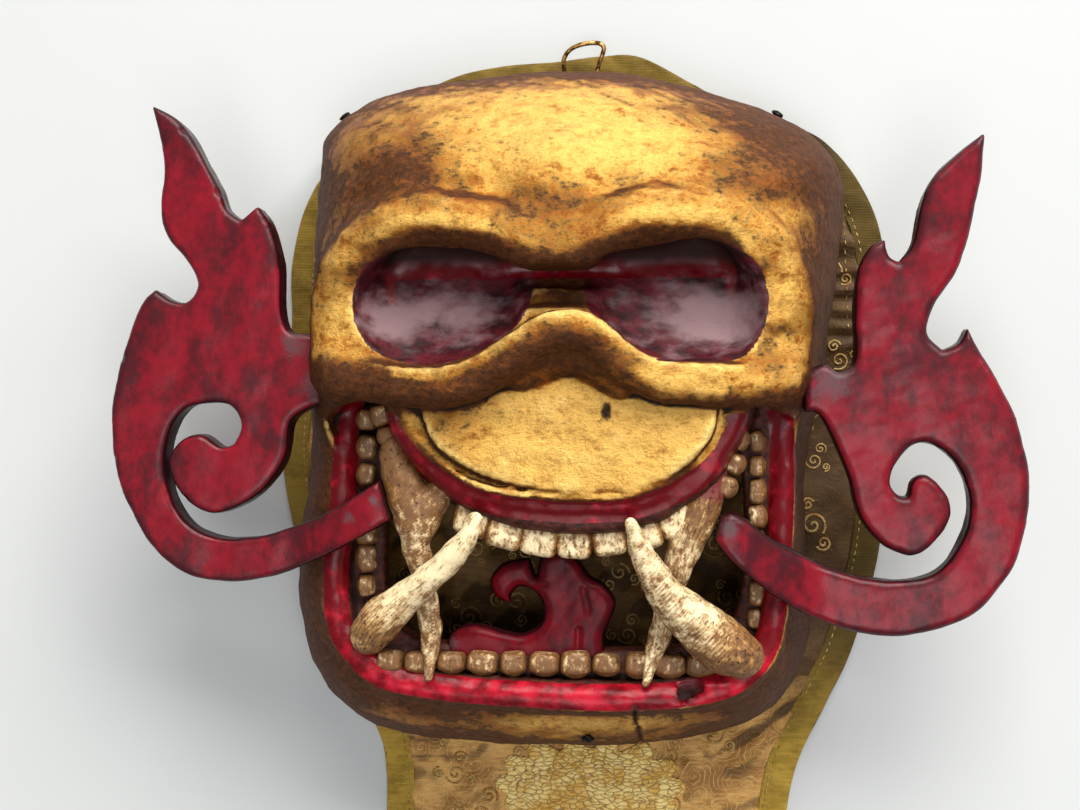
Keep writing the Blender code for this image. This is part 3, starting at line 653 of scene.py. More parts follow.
@dataclass(frozen=True)
class Finish:
    """A surface as its maker and its years have left it."""

    name: str = "finish"

    def material(self) -> bpy.types.Material:
        """Writes the finish as a material.

        Returns:
            The material.
        """
        made = bpy.data.materials.new(self.name)
        made.use_nodes = True
        self.dress(Recipe(made.node_tree, made.node_tree.nodes["Principled BSDF"]))
        return made

    def dress(self, recipe: Recipe) -> None:
        """Writes the finish's patterns and links them to the shader.

        Args:
            recipe: The material's node tree.
        """
        raise NotImplementedError


@dataclass(frozen=True)
class WornGilding(Finish):
    """Gold leaf over carved wood, worn and smoked, with lacquered sockets, lips and gums.

    It gives the eye a warm metal sheen that breaks up into brown where the leaf is gone, the
    brightest gold along the carved crests, dark specks and a dark coat in every groove. It also
    carries painted light: highlights across the upper face and along the brow crests, a grey-pink
    sheen in the sockets, and shade under the brows, under the cheek band and in the sockets'
    tops.
    """

    name: str = "worn_gold_leaf_on_carved_wood"
    leaf: tuple[str, str, str] = ("#8a4d17", "#dda03c", "#f8d27c")
    ground: tuple[str, str] = ("#62340f", "#260f03")
    # Near-black for specks, for the dark coat in the hollows, and for painted shade in the tops
    # of the sockets.
    dirt_and_shade: str = "#170c06"
    lacquer: tuple[str, str] = ("#600710", "#ba182d")
    socket: tuple[str, str] = ("#2a0a0e", "#5e141e")
    # Grey-pink painted sheen for the sockets, standing in for the lamp's reflection.
    socket_sheen_colour: str = "#937577"
    gum: tuple[str, str] = ("#24100c", "#5e2a1e")
    bare: str = "#c47a35"
    raw_wood: tuple[str, str] = ("#3a271a", "#6a4a30")
    cloud_size: float = 26.0
    blotch_size: float = 9.0
    fleck_size: float = 3.0
    speck_size: float = 1.0

    def dress(self, recipe: Recipe) -> None:
        """Links gold, brown ground, lacquers, dark coats, painted sheen and shade to the shader.

        Args:
            recipe: The material's node tree.
        """
        add, weigh, coat = recipe.add, recipe.weigh, recipe.coat
        cloud = recipe.mottle(self.cloud_size, 5.0, 0.62)
        blotch = recipe.mottle(self.blotch_size, 6.0, 0.66, (1.3, 1.0, 1.0))
        fleck = recipe.mottle(self.fleck_size, 7.0, 0.76, (1.4, 1.0, 1.0))
        speck = recipe.mottle(self.speck_size, 3.0, 0.65, (1.5, 1.0, 1.0))
        # The mark of wear and painted light browns the leaf where it is high (wear and painted
        # shade) and turns it pale where it is low (painted highlights).
        tone = weigh(0.02, (blotch, 0.6), (fleck, 0.55), ("wear_and_painted_light", -0.3))
        gold, tone = coat(*self.leaf[:2], tone, 0.36, 0.66)
        crest = weigh(0.0, ("ridge", 0.9), (tone, 0.4), ("wear_and_painted_light", -0.5))
        gold = add("ShaderNodeMix", MIX_COLOUR, {0: crest, 6: gold, 7: self.leaf[2]}, 2)
        patch = add("ShaderNodeMapRange", inputs={0: fleck, 1: 0.35, 2: 0.65})
        ground = add("ShaderNodeMix", MIX_COLOUR,
                     {0: patch, 6: self.ground[0], 7: self.ground[1]}, 2)
        # Brown ground where the leaf is worn, in the hollows, and where shade is painted.
        worn = weigh(-2.0, ("wear_and_painted_light", 1.25), (cloud, 1.4), (blotch, 1.5), (fleck, 1.4),
                     ("hollow", 0.5), ("ridge", -0.45))
        base, worn = coat(gold, ground, worn, 0.32, 0.88, 0.96)
        base, _ = coat(base, self.dirt_and_shade, speck, 0.56, 0.7, 0.45)
        metal = weigh(0.5, (worn, -0.4))
        rough = weigh(0.27, (worn, 0.3), (fleck, 0.16))
        shaded = weigh(0.0, (recipe.mottle(12.0, 5.0, 0.6), 1.0), ("hollow", -0.3),
                       ("shaded", -0.14))
        along_wood = recipe.mottle(3.0, 5.0, 0.6, (1.0, 9.0, 1.0))
        layers = (("socket", self.socket, blotch, 0.42, 0.3), ("gum", self.gum, fleck, 0.42, 0.3),
                  ("lacquer", self.lacquer, shaded, 0.22, 0.75),
                  ("inside", self.raw_wood, along_wood, 0.8, 0.3))
        smooth = 1.0
        for name, paints, pattern, gloss, filled in layers:
            paint, _ = coat(*paints, pattern, 0.36, 0.68)
            base, share = coat(base, paint, weigh(name, (fleck, 0.5), (speck, 0.3)), 0.72, 0.98)
            metal = add("ShaderNodeMix", inputs={0: share, 2: metal, 3: 0.0})
            rough = add("ShaderNodeMix", inputs={0: share, 2: rough, 3: gloss})
            smooth = weigh(smooth, (share, -filled))
        # Painted sheen: a cloudy grey-pink reflection laid into the sockets round the sheen
        # spots.
        soft = recipe.mottle(8.0, 3.0, 0.5, (1.6, 1.0, 1.0))
        socket_sheen = weigh(-0.68, (cloud, 0.35), (soft, 1.0), (fleck, 0.3), ("painted_sheen", 0.5))
        socket_sheen = add("ShaderNodeMapRange", SOFT_STEP, {0: socket_sheen, 1: 0.2, 2: 0.78, 4: 0.86})
        socket_sheen = add("ShaderNodeMath", {"operation": "MULTIPLY"}, {0: socket_sheen, 1: "socket"})
        base = add("ShaderNodeMix", MIX_COLOUR, {0: socket_sheen, 6: base, 7: self.socket_sheen_colour}, 2)
        # Dark coat on the hollow mark: the carving's crevices, the chips and the crack, and
        # painted shade in the tops of the sockets.
        grime_and_shade = weigh(-0.1, ("hollow", 1.0), (fleck, 0.25))
        base, grime_and_shade = coat(base, self.dirt_and_shade, grime_and_shade, 0.25, 0.95, 0.9)
        metal = add("ShaderNodeMix", inputs={0: grime_and_shade, 2: metal, 3: 0.0})
        rough = add("ShaderNodeMix", inputs={0: grime_and_shade, 2: rough, 3: 0.75})
        base, _ = coat(base, self.bare, weigh("bare", (fleck, 0.4)), 0.6, 0.9)
        dents = recipe.mottle(9.0, 2.0, 0.5)
        relief = weigh(0.0, (fleck, 0.9), (speck, 0.35), (cloud, 1.2), (dents, 1.4))
        recipe.join({"Base Color": base, "Metallic": metal, "Roughness": rough,
                     "Specular IOR Level": 0.22}, relief, 1.0, smooth)


@dataclass(frozen=True)
class RubbedLacquer(Finish):
    """Dark red lacquer on thin boards, handled until its edges are brown and its face cloudy.

    It gives the eye a deep crimson with smoky streaks along the wood and a soft gloss.
    """

    name: str = "rubbed_red_lacquer"
    body: tuple[str, str] = ("#821522", "#56111a")
    smoke: str = "#34161a"
    edge: str = "#1d080c"
    dust: str = "#5c4648"
    gleam: float = 0.22
    streak: Place = (1.0, 2.0, 1.0)

    def dress(self, recipe: Recipe) -> None:
        """Links lacquer, smoke, edges and dust to the shader.

        Args:
            recipe: The material's node tree.
        """
        weigh, coat = recipe.weigh, recipe.coat
        cloud = recipe.mottle(21.0, 6.0, 0.66, self.streak)
        fleck = recipe.mottle(6.5, 6.0, 0.66, (1.0, 1.3, 1.0))
        speck = recipe.mottle(1.3, 3.0, 0.6)
        base, _ = coat(*self.body, weigh(0.0, (fleck, 0.5), (cloud, 0.5)), 0.36, 0.66)
        smoke = weigh(0.0, (cloud, 0.75), (fleck, 0.25), ("rim", 0.1))
        base, smoke = coat(base, self.smoke, smoke, 0.47, 0.68, 0.72)
        side = weigh("side", (fleck, 0.35), ("rim", 0.25))
        base, _ = coat(base, self.edge, side, 0.45, 0.95, 0.88)
        base, _ = coat(base, self.edge, weigh("hollow", (fleck, 0.3)), 0.35, 0.95, 0.85)
        dust = weigh("dust", (fleck, 1.8), (speck, 1.0))
        base, dust = coat(base, self.dust, dust, 1.7, 2.5, 0.75)
        rough = weigh(0.24, (smoke, 0.08), (fleck, 0.1), (dust, 0.15))
        recipe.join({"Base Color": base, "Roughness": rough, "Specular IOR Level": self.gleam},
                    weigh(0.0, (fleck, 0.7), (speck, 0.3), (cloud, 0.9)), 0.2)


@dataclass(frozen=True)
class OldIvoryPaint(Finish):
    """Cream paint over gesso on the teeth, crazed along the grain and browned at the roots.

    It gives the eye bright bone with honey stains, black pits and fine lines lengthwise.
    """

    name: str = "old_ivory_paint"
    body: tuple[str, str] = ("#f6e2b2", "#bd8a48")
    stain: str = "#6b4420"
    pit: str = "#1a0f08"
    root: str = "#6e1420"

    def dress(self, recipe: Recipe) -> None:
        """Links cream, stains, grain and pits to the shader.

        Args:
            recipe: The material's node tree.
        """
        weigh, coat = recipe.weigh, recipe.coat
        cloud = recipe.mottle(6.0, 5.0, 0.7)
        fleck = recipe.mottle(2.2, 5.0, 0.7)
        grain = recipe.mottle(1.5, 5.0, 0.72, (1.0, 1.0, 7.0), "grain")
        # The mark of age and shade browns the paint: its age, and painted shade on sides turned
        # downwards and on the fangs.
        honey = weigh(-0.12, ("foot", 0.26), ("age_and_shade", 0.3), (cloud, 0.75), (grain, 0.5))
        base, _ = coat(*self.body, honey, 0.4, 0.72)
        stain = weigh(-0.12, (grain, 0.62), (cloud, 0.42), (fleck, 0.22), ("foot", 0.09),
                      ("hollow", 0.5), ("age_and_shade", 0.26))
        base, stain = coat(base, self.stain, stain, 0.48, 0.64, 0.92)
        pit = weigh(0.0, (fleck, 0.7), (grain, 0.35), ("foot", 0.05))
        base, pit = coat(base, self.pit, pit, 0.63, 0.69, 0.95)
        base, _ = coat(base, self.root, weigh("red", (fleck, 0.6)), 0.75, 1.0, 0.85)
        rough = weigh(0.34, (stain, 0.2), (pit, 0.25))
        recipe.join({"Base Color": base, "Roughness": rough},
                    weigh(0.0, (grain, 0.9), (fleck, 0.5), (pit, -0.8)), 0.5)


@dataclass(frozen=True)
class TarnishedMetal(Finish):
    """Old metal with a skin of tarnish: brown-gold on brass wire, black on iron.

    It gives the eye short bright glints between dull patches.
    """

    name: str = "tarnished_brass"
    body: tuple[str, str] = ("#c39a55", "#4a3013")
    size: float = 3.0
    rough: float = 0.3

    def dress(self, recipe: Recipe) -> None:
        """Links metal and tarnish to the shader.

        Args:
            recipe: The material's node tree.
        """
        patch = recipe.mottle(self.size, 4.0)
        base, share = recipe.coat(*self.body, patch, 0.4, 0.6)
        recipe.join({"Base Color": base, "Metallic": 0.9,
                     "Roughness": recipe.weigh(self.rough, (share, 0.25))}, patch, 0.12)


@dataclass(frozen=True)
class WovenSilk(Finish):
    """Silk woven with a fine rib, soft with age.

    It gives the eye a low sheen that shifts over the folds, over threads too fine to count.
    """

    name: str = "olive_silk"
    body: tuple[str, str] = ("#c4a040", "#987a2a")
    shade: str = "#3a2c10"
    shine: float = 0.06
    rib: float = 0.9

    def dress(self, recipe: Recipe) -> None:
        """Links thread, fading and rib to the shader.

        Args:
            recipe: The material's node tree.
        """
        add, weigh = recipe.add, recipe.weigh
        fade = recipe.mottle(20.0, 4.0)
        slub = recipe.mottle(2.2, 4.0, 0.6, (5.0, 1.0, 1.0))
        base, _ = recipe.coat(*self.body, weigh(0.0, (fade, 0.6), (slub, 0.4)), 0.38, 0.62)
        # Painted shade: the silk turns to its shade colour where the cloth's mark of painted
        # shade lies.
        base = add("ShaderNodeMix", MIX_COLOUR, {0: "painted_shade", 6: base, 7: self.shade}, 2)
        place = add("ShaderNodeTexCoord", output="Object")
        threads = [add("ShaderNodeTexWave", {"bands_direction": way},
                       {"Vector": place, "Scale": 0.31 / (self.rib * MM), "Distortion": 0.6,
                        "Detail": 1.0}, "Fac") for way in ("X", "Y")]
        weave = add("ShaderNodeMath", {"operation": "MULTIPLY"}, dict(enumerate(threads)))
        recipe.join({"Base Color": base, "Roughness": 0.5, "Specular IOR Level": 0.2,
                     "Sheen Weight": self.shine, "Sheen Roughness": 0.4},
                    weigh(0.0, (weave, 0.7), (slub, 0.9), (fade, 1.6)), 0.45)


@dataclass(frozen=True)
class SatinBrocade(Finish):
    """Bronze satin with a figure of fine gold lines woven in.

    It gives the eye a brown ground that flashes on the folds, under faint curling lines.
    """

    name: str = "bronze_satin_brocade"
    body: tuple[str, str] = ("#deaa5e", "#9c6a32")
    figure: str = "#dcc07a"
    shade: str = "#2c1a0a"
    curl_size: float = 14.0
    turn_size: float = 2.7
    rib: float = 0.7

    def figures(self, recipe: Recipe, place: Socket) -> Socket:
        """Draws one spiral in each cell of an uneven net.

        Args:
            recipe: The material's node tree.
            place: Where on the piece a point lies.

        Returns:
            The share of gold line at each place.
        """
        add = recipe.add
        side = 1.0 / (self.curl_size * MM)
        flat = add("ShaderNodeMapping", inputs={"Vector": place, "Scale": (side, side, 0.0)})
        bend = add("ShaderNodeTexNoise", inputs={"Vector": flat, "Scale": 1.7}, output="Color")
        flat = add("ShaderNodeVectorMath", {"operation": "MULTIPLY_ADD"},
                   {0: bend, 1: (0.5, 0.5, 0.0), 2: flat})
        centre = add("ShaderNodeTexVoronoi", {"voronoi_dimensions": "2D"},
                     {"Vector": flat, "Scale": 1.0}, "Position")
        arm = add("ShaderNodeVectorMath", {"operation": "SUBTRACT"}, {0: flat, 1: centre})
        reach = add("ShaderNodeVectorMath", {"operation": "LENGTH"}, {0: arm}, "Value")
        sides = add("ShaderNodeSeparateXYZ", inputs={0: arm})
        angle = add("ShaderNodeMath", {"operation": "ARCTAN2"},
                    {0: sides.node.outputs[1], 1: sides})
        curl = recipe.weigh(angle, (reach, 2.0 * math.pi * self.curl_size / self.turn_size))
        curl = add("ShaderNodeMath", {"operation": "SINE"}, {0: curl})
        lines = add("ShaderNodeMapRange", SOFT_STEP, {0: curl, 1: 0.7, 2: 0.98, 4: 0.6})
        return add("ShaderNodeMath", {"operation": "MULTIPLY"}, {0: lines, 1: "figured"})

    def dress(self, recipe: Recipe) -> None:
        """Links satin, woven lines and threads to the shader.

        Args:
            recipe: The material's node tree.
        """
        add, weigh, coat = recipe.add, recipe.weigh, recipe.coat
        fade = recipe.mottle(26.0, 4.0)
        slub = recipe.mottle(1.6, 4.0, 0.6, (6.0, 1.0, 1.0))
        base, _ = coat(*self.body, weigh(0.0, (fade, 0.7), (slub, 0.3)), 0.38, 0.62)
        place = add("ShaderNodeTexCoord", output="Object")
        lines = self.figures(recipe, place)
        base = add("ShaderNodeMix", MIX_COLOUR, {0: lines, 6: base, 7: self.figure}, 2)
        # Painted shade: darker in the valleys of the folds and where the cloth's mark of painted
        # shade lies.
        dark = weigh(0.0, ("crease", 0.7), ("painted_shade", 1.25))
        base, _ = coat(base, self.shade, dark, 0.15, 1.1, 0.88)
        threads = add("ShaderNodeTexWave", {"bands_direction": "Y"},
                      {"Vector": place, "Scale": 0.31 / (self.rib * MM), "Distortion": 0.5},
                      "Fac")
        recipe.join({"Base Color": base, "Metallic": 0.1, "Specular IOR Level": 0.25,
                     "Roughness": weigh(0.44, (lines, -0.08), (slub, 0.1)),
                     "Sheen Weight": 0.1, "Sheen Roughness": 0.35},
                    weigh(0.0, (threads, 0.25), (slub, 0.5), (lines, 0.9)), 0.3)


@dataclass(frozen=True)
class CouchedGold(Finish):
    """Pale gilt thread laid in scales and sewn down, its wrapping cracked.

    It gives the eye small bright scales with dark lines between them.
    """

    name: str = "couched_pale_gold_thread"
    body: tuple[str, str] = ("#ffe391", "#dfae4e")
    crack: str = "#96703a"
    scale_size: float = 3.8
    bend_size: float = 7.0
    bend: float = 4.0

    def dress(self, recipe: Recipe) -> None:
        """Links scales and cracks to the shader.

        Args:
            recipe: The material's node tree.
        """
        add, weigh, coat = recipe.add, recipe.weigh, recipe.coat
        place = add("ShaderNodeTexCoord", output="Object")
        bend = add("ShaderNodeTexNoise", output="Color",
                   inputs={"Vector": place, "Scale": 1.0 / (self.bend_size * MM)})
        place = add("ShaderNodeVectorMath", {"operation": "MULTIPLY_ADD"},
                    {0: bend, 1: (self.bend * MM,) * 3, 2: place})
        place = add("ShaderNodeMapping", inputs={"Vector": place, "Scale": (0.75, 1.7, 0.3)})
        cell = add("ShaderNodeTexVoronoi", {"feature": "DISTANCE_TO_EDGE"},
                   {"Vector": place, "Scale": 1.0 / (self.scale_size * MM)}, "Distance")
        fleck = recipe.mottle(9.0, 6.0, 0.68)
        base, _ = coat(*self.body, fleck, 0.42, 0.6)
        laid = weigh(-0.04, (cell, 1.0), (recipe.mottle(2.0), 0.1))
        base, _ = coat(self.crack, base, laid, 0.0, 0.14)
        dome = add("ShaderNodeMapRange", SOFT_STEP, {0: cell, 1: 0.0, 2: 0.34})
        recipe.join({"Base Color": base, "Specular IOR Level": 0.2,
                     "Roughness": weigh(0.38, (fleck, 0.12))},
                    weigh(0.0, (dome, 1.0), (fleck, 0.8)), 0.42)


@dataclass(frozen=True)
class PaleFloor(Finish):
    """Matt off-white paper laid under the mask."""

    name: str = "off_white_paper"
    body: tuple[str, str] = ("#cdcfcd", "#c7c9c7")

    def dress(self, recipe: Recipe) -> None:
        """Links a barely uneven white to the shader.

        Args:
            recipe: The material's node tree.
        """
        base = recipe.add("ShaderNodeMix", MIX_COLOUR, {
            0: recipe.mottle(180.0, 2.0), 6: self.body[0], 7: self.body[1]}, 2)
        recipe.fill(recipe.shader, {"Base Color": base, "Roughness": 0.9})


# ---- The carved shell ----
@dataclass
class GildedHead:
    """The wooden shell: skull, jaw, brow, sockets, muzzle, lips and mouth."""

    step: float = 1.8
    most_triangles: int = 185_000
    rim_height: float = 5.95
    wall: float = 11.0
    outline: Outline = (
        (-144, 152), (-108, 173), (-49, 182), (0, 184), (36, 180), (66, 172), (108, 157),
        (133, 139), (143, 117), (140, 80), (134, 38), (129, 0), (122, -30), (121, -60),
        (123, -95), (124, -126), (116, -152), (96, -174), (52, -187), (0, -191.5),
        (-77, -189.5), (-115, -182), (-138, -166), (-153, -144), (-160, -110), (-159, -75),
        (-153, -30),
        (-151, 20), (-151, 80), (-150, 126),
    )
    forehead_height: float = 124.0
    jaw_height: float = 94.0
    chin_height: float = 104.0
    top_round: float = 88.0
    side_round: float = 46.0
    jaw_round: float = 30.0
    chin_round: float = 46.0
    brows: tuple[Outline, Outline] = (
        ((-121, 12, 116, 10), (-126, 30, 110, 10), (-124, 52, 109, 10), (-116, 71, 114, 9.5),
         (-97, 84, 121, 9), (-70, 89, 126, 9), (-44, 85, 129, 9.5), (-26, 78, 129, 10.5),
         (-10, 71, 125, 11)),
        ((103, 8, 110, 10), (107, 30, 104, 10), (105, 54, 104, 10), (97, 72, 110, 9.5),
         (80, 86, 117, 9), (57, 92, 123, 9), (33, 88, 128, 9.5), (13, 79, 129, 10.5),
         (-3, 71, 125, 11)),
    )
    between_brows: Outline = ((-9, 108, 103, 22), (-9, 90, 110, 21), (-8, 76, 116.5, 15.5))
    cheek_band: Outline = (
        (-128, 15, 106, 9), (-112, 11, 116, 9.5), (-94, 8, 122, 10), (-73, 6, 127, 10.5),
        (-60, 7, 129, 10.5), (-48, 11.5, 130, 10.5), (-35, 18.5, 132, 10.5), (-24, 26, 134, 10.5),
        (-13, 32, 135.5, 10.5), (-2, 34, 136, 10.5), (9, 32, 135.5, 10.5), (18, 25.5, 134, 10.5),
        (26, 17.5, 132, 10.5), (38, 11, 130, 10.5), (57, 8, 127.5, 10.5), (77, 7, 123, 10.5),
        (92, 9, 116, 10), (106, 14, 104, 9.5),
    )
    crest: tuple[float, float, float] = (7.6, 7.9, 2.8)
    brow_crests: tuple[Outline, Outline] = (
        ((-114, 66, 117, 2), (-106, 77, 122.4, 3.4), (-93, 86, 128, 4), (-81, 89, 131, 4),
         (-67, 90.5, 133, 4), (-45, 87, 134.2, 3.2), (-26, 80, 130, 1.6)),
        ((8, 82, 130, 1.6), (23, 90, 133.6, 3.2), (41, 93, 133.2, 4), (60, 93, 130, 4),
         (75, 88, 126, 4), (88, 75, 120.4, 3.6), (97, 61, 116, 3), (102.6, 46, 110, 2)),
    )
    crest_sink: float = 2.6
    nose_face: Outline = ((-26, 14, 121, 10), (-14, 21, 124, 11), (-2, 24, 125, 11),
                          (10, 20, 124, 11), (22, 9, 121, 10))
    sockets: tuple[Outline, Outline] = (
        ((-22, 50), (-33, 33), (-56, 21), (-78, 18), (-101, 25), (-112, 45), (-104, 67),
         (-86, 78), (-62, 76), (-37, 73), (-24, 63)),
        ((4, 50), (8, 62), (18, 74), (38, 75), (62, 81), (80, 75), (92, 62), (95, 42),
         (84, 22), (62, 19), (38, 20), (19, 32)),
    )
    socket_top: float = 130.0
    socket_depth: float = 25.0
    undercut: float = 0.42
    # Where the sockets carry their painted sheen: place, and size across and up.
    sheen_spots: Outline = ((-66, 44, 32, 15), (-96, 40, 16, 11), (66, 44, 34, 18),
                           (72, 40, 18, 10))
    bridge_channel: Outline = ((-34, 65, 113, 9), (-9, 66, 111, 9.5), (16, 65, 113, 9))
    bridge: Outline = ((-36, 45), (-36, 66), (18, 66), (18, 45))
    bridge_height: float = 114.0
    muzzle: Outline = (
        (-82, 14), (-80, 1), (-78, -9), (-74, -19), (-67, -27), (-57, -34.5), (-41, -41.5),
        (-22, -46), (-2, -48), (17, -47.5), (34, -45), (49, -39), (60, -30.5), (67.5, -21),
        (71.5, -10), (73, 1), (74, 14),
    )
    muzzle_height: float = 125.0
    snout_outline: Outline = (
        (-102, 12), (-101, -12), (-92, -29), (-75, -47), (-47, -65), (0, -73), (40, -67),
        (69, -49), (83, -28), (92, -6), (94, 12),
    )
    snout_height: float = 119.0
    upper_lip: Outline = (
        (-95, 0, 108, 4.2), (-88, -17, 111, 4.6), (-71, -35, 113.5, 4.8),
        (-47, -48, 115.5, 5), (-18, -52, 116.5, 5), (3, -53, 116.5, 5), (30, -51, 116.5, 5),
        (53, -41.5, 114.5, 4.8), (69, -27.5, 111.5, 4.6), (78, -12, 107, 4.2),
    )
    lip_ridge: Outline = (
        (-92, 1, 112, 2.2), (-84, -16, 116, 2.4), (-68, -32, 119, 2.4), (-45, -44, 121, 2.4),
        (-17, -48, 121.6, 2.5), (3, -49, 121.6, 2.5), (28, -47, 121.6, 2.5),
        (50, -38, 120, 2.4), (65, -26, 117, 2.4), (74, -11, 113, 2.2),
    )
    lower_lip: Outline = (
        (-120, -2, 84, 6), (-123, -25, 87, 6), (-125, -52, 89, 6.5), (-128, -99, 93, 7),
        (-121, -125, 96, 7.5), (-100, -143, 98, 8), (-65, -149, 100, 8), (-29, -151, 102, 8),
        (12, -152, 103, 8), (52, -150, 102, 8), (80, -143, 99, 8), (96, -127, 95, 7.5),
        (102, -102, 92, 7), (105, -61, 88, 6.5), (106, -21, 84, 6), (104, -4, 82, 6),
    )
    gum_basin: Outline = (
        (-113, 4), (-117, -50), (-120, -100), (-112, -124), (-96, -136), (-62, -141),
        (12, -143), (56, -141), (80, -134), (90, -122), (95, -100), (98, -55), (98, 0),
    )
    gum_floor: float = 88.0
    mouth_outline: Outline = (
        (-97, -24), (-101, -60), (-100, -108), (-86, -123), (-50, -128), (0, -129), (50, -127),
        (74, -118), (84, -95), (85, -50), (81, -32), (68, -48), (42, -63), (0, -69),
        (-46, -64), (-74, -49), (-89, -32),
    )
    crack_x: float = 30.5
    crack_y: tuple[float, float] = (-188.0, -153.0)
    muzzle_chip: Place = (15.8, -5.5, 127.0)
    lip_chip: Place = (56.0, -147.0, 106.5)
    fine_reach: float = 3.6
    broad_reach: float = 9.0
    hollow_form: np.ndarray | None = field(default=None, init=False)

    def carve(self) -> Block:
        """Carves the whole shell from one block.

        Returns:
            The carved block.
        """
        block = Block((-176, -210, -4), (160, 206, 156), self.step)
        x, y, z = block.x, block.y, block.z
        outline = spline(self.outline, closed=True)
        inset = even_out(depth_inside(outline, x, y), self.step)
        low_face = 1.0 - ease(-34.0, 6.0, y)
        chin = 1.0 - ease(-140.0, -90.0, y)
        top = ease(50.0, 150.0, y)
        tall = self.forehead_height + (self.jaw_height - self.forehead_height) * low_face
        tall = tall + (self.chin_height - self.jaw_height) * chin
        rounding = self.side_round + (self.top_round - self.side_round) * top
        rounding = rounding + (self.jaw_round - self.side_round) * low_face
        rounding = rounding + (self.chin_round - self.jaw_round) * chin
        block.whole(pillow(inset, z, tall, rounding), soft=0.1)
        self.sink_cheeks(block)
        for brow in self.brows:
            block.band(brow, soft=14.0)
        block.band(self.between_brows, soft=20.0)
        block.band(self.cheek_band, soft=7.0)
        block.band(self.nose_face, soft=6.0)
        self.build_snout(block)
        self.carve_sockets(block)
        for crest in self.brow_crests:
            block.band(tuple((px, py, pz - self.crest_sink, thin)
                             for px, py, pz, thin in crest), soft=22.0)
        out, high, thin = self.crest
        taper = 1.0 - 0.55 * np.abs(np.linspace(-1.0, 1.0, len(self.cheek_band))) ** 4
        block.band(tuple((px, py + out, pz + high * share, thin * share)
                         for (px, py, pz, _), share in zip(self.cheek_band, taper)), soft=4.0)
        block.field += 0.4 * ripple(x, y, z, 24.0, 3) + 0.2 * ripple(x, y, z, 10.0, 4)
        self.hurt(block)
        self.hollow_out(block, inset, rounding)
        block.field = np.maximum(block.field, self.rim_height - z)
        return block

    def sink_cheeks(self, block: Block) -> None:
        """Lowers the face round the mouth, and rolls the lower lip on its edge.

        Args:
            block: The block being carved.
        """
        depth = depth_inside(spline(self.gum_basin, closed=True, steps=3), block.x, block.y)
        floor = self.gum_floor + 8.0 * (1.0 - ease(-140.0, -100.0, block.y))
        form = np.maximum(-depth + 0.0 * block.z, floor - block.z)
        block.whole(form, soft=4.0, carve=True)
        block.band(self.lower_lip, soft=4.0)

    def build_snout(self, block: Block) -> None:
        """Adds the upper jaw with its half-disk muzzle and the rolled upper lip.

        Args:
            block: The block being carved.
        """
        x, y, z = block.x, block.y, block.z
        outline = spline(self.snout_outline, closed=True, corners=(0, 10))
        foot, low = 60.0, 72.0
        depth = depth_inside(outline, x, y)
        form = pillow(depth, z - foot, self.snout_height - foot, 10.0)
        block.whole(np.maximum(form, low - z), soft=3.0)
        inside = depth_inside(spline(self.muzzle, closed=True, corners=(0, 16)), x, y)
        back, foot = 90.0, 96.0
        disk = pillow(inside, z - foot, self.muzzle_height - foot, 2.6)
        block.whole(np.maximum(disk, back - z), soft=1.0)
        block.band(self.upper_lip, soft=2.0)
        block.band(self.lip_ridge, soft=1.0)

    def under_brow(self, y: np.ndarray, z: np.ndarray) -> np.ndarray:
        """Leans places up, so that a bowl reaches back under its brow the deeper it goes."""
        return y - self.undercut * (self.socket_top - z) * ease(36.0, 66.0, y)

    def carve_sockets(self, block: Block) -> None:
        """Sinks the two bowls of the eyes and the dark channel between them.

        Args:
            block: The block being carved.
        """
        part = block.window((-126, 8, 84), (110, 104, 152))
        x, y, z = block.x[part[0]], block.y[:, part[1]], block.z[:, :, part[2]]
        drop = np.maximum(self.socket_depth + 5.0 * (y - 48.0) / 30.0, 12.0)
        leaning = self.under_brow(y, z)
        for outline in self.sockets:
            depth = depth_inside(spline(outline, closed=True), x, leaning)
            form = pillow(depth, self.socket_top - z, drop, 25.0)
            block.blend(form, part, soft=2.2, carve=True)
        depth = depth_inside(np.array(self.bridge, float), x, y)
        over = 150.0
        form = pillow(depth, over - z, over - self.bridge_height, 5.0)
        block.blend(form, part, soft=4.0, carve=True)
        block.band(self.bridge_channel, soft=3.0, carve=True)

    def off_crack(self, x: np.ndarray, y: np.ndarray) -> np.ndarray:
        """Measures how far places lie to the right of the wandering crack."""
        return x - self.crack_x - 1.2 * np.sin(y / 6.0)

    def hurt(self, block: Block) -> None:
        """Opens the drying crack in the chin and knocks the chips out of muzzle and lip.

        Args:
            block: The block being carved.
        """
        x, y, z = block.x, block.y, block.z
        half_width, deep = 0.8, 2.4
        slit = np.maximum(np.abs(self.off_crack(x, y)) - half_width, -deep - block.field)
        slit = np.maximum(slit, np.maximum(y - self.crack_y[1], self.crack_y[0] - y))
        block.whole(slit, soft=0.3, carve=True)
        for (cx, cy, cz), wide, tall in ((self.muzzle_chip, 2.4, 5.0), (self.lip_chip, 7.5, 6.0)):
            lean = x - cx - 0.5 * (y - cy)
            hole = np.sqrt((lean / wide) ** 2 + ((y - cy) / tall) ** 2 + ((z - cz) / deep) ** 2)
            hole = hole + 0.25 * ripple(x, y, z, 5.0, 17)
            block.whole((hole - 1.0) * deep, soft=0.6, carve=True)

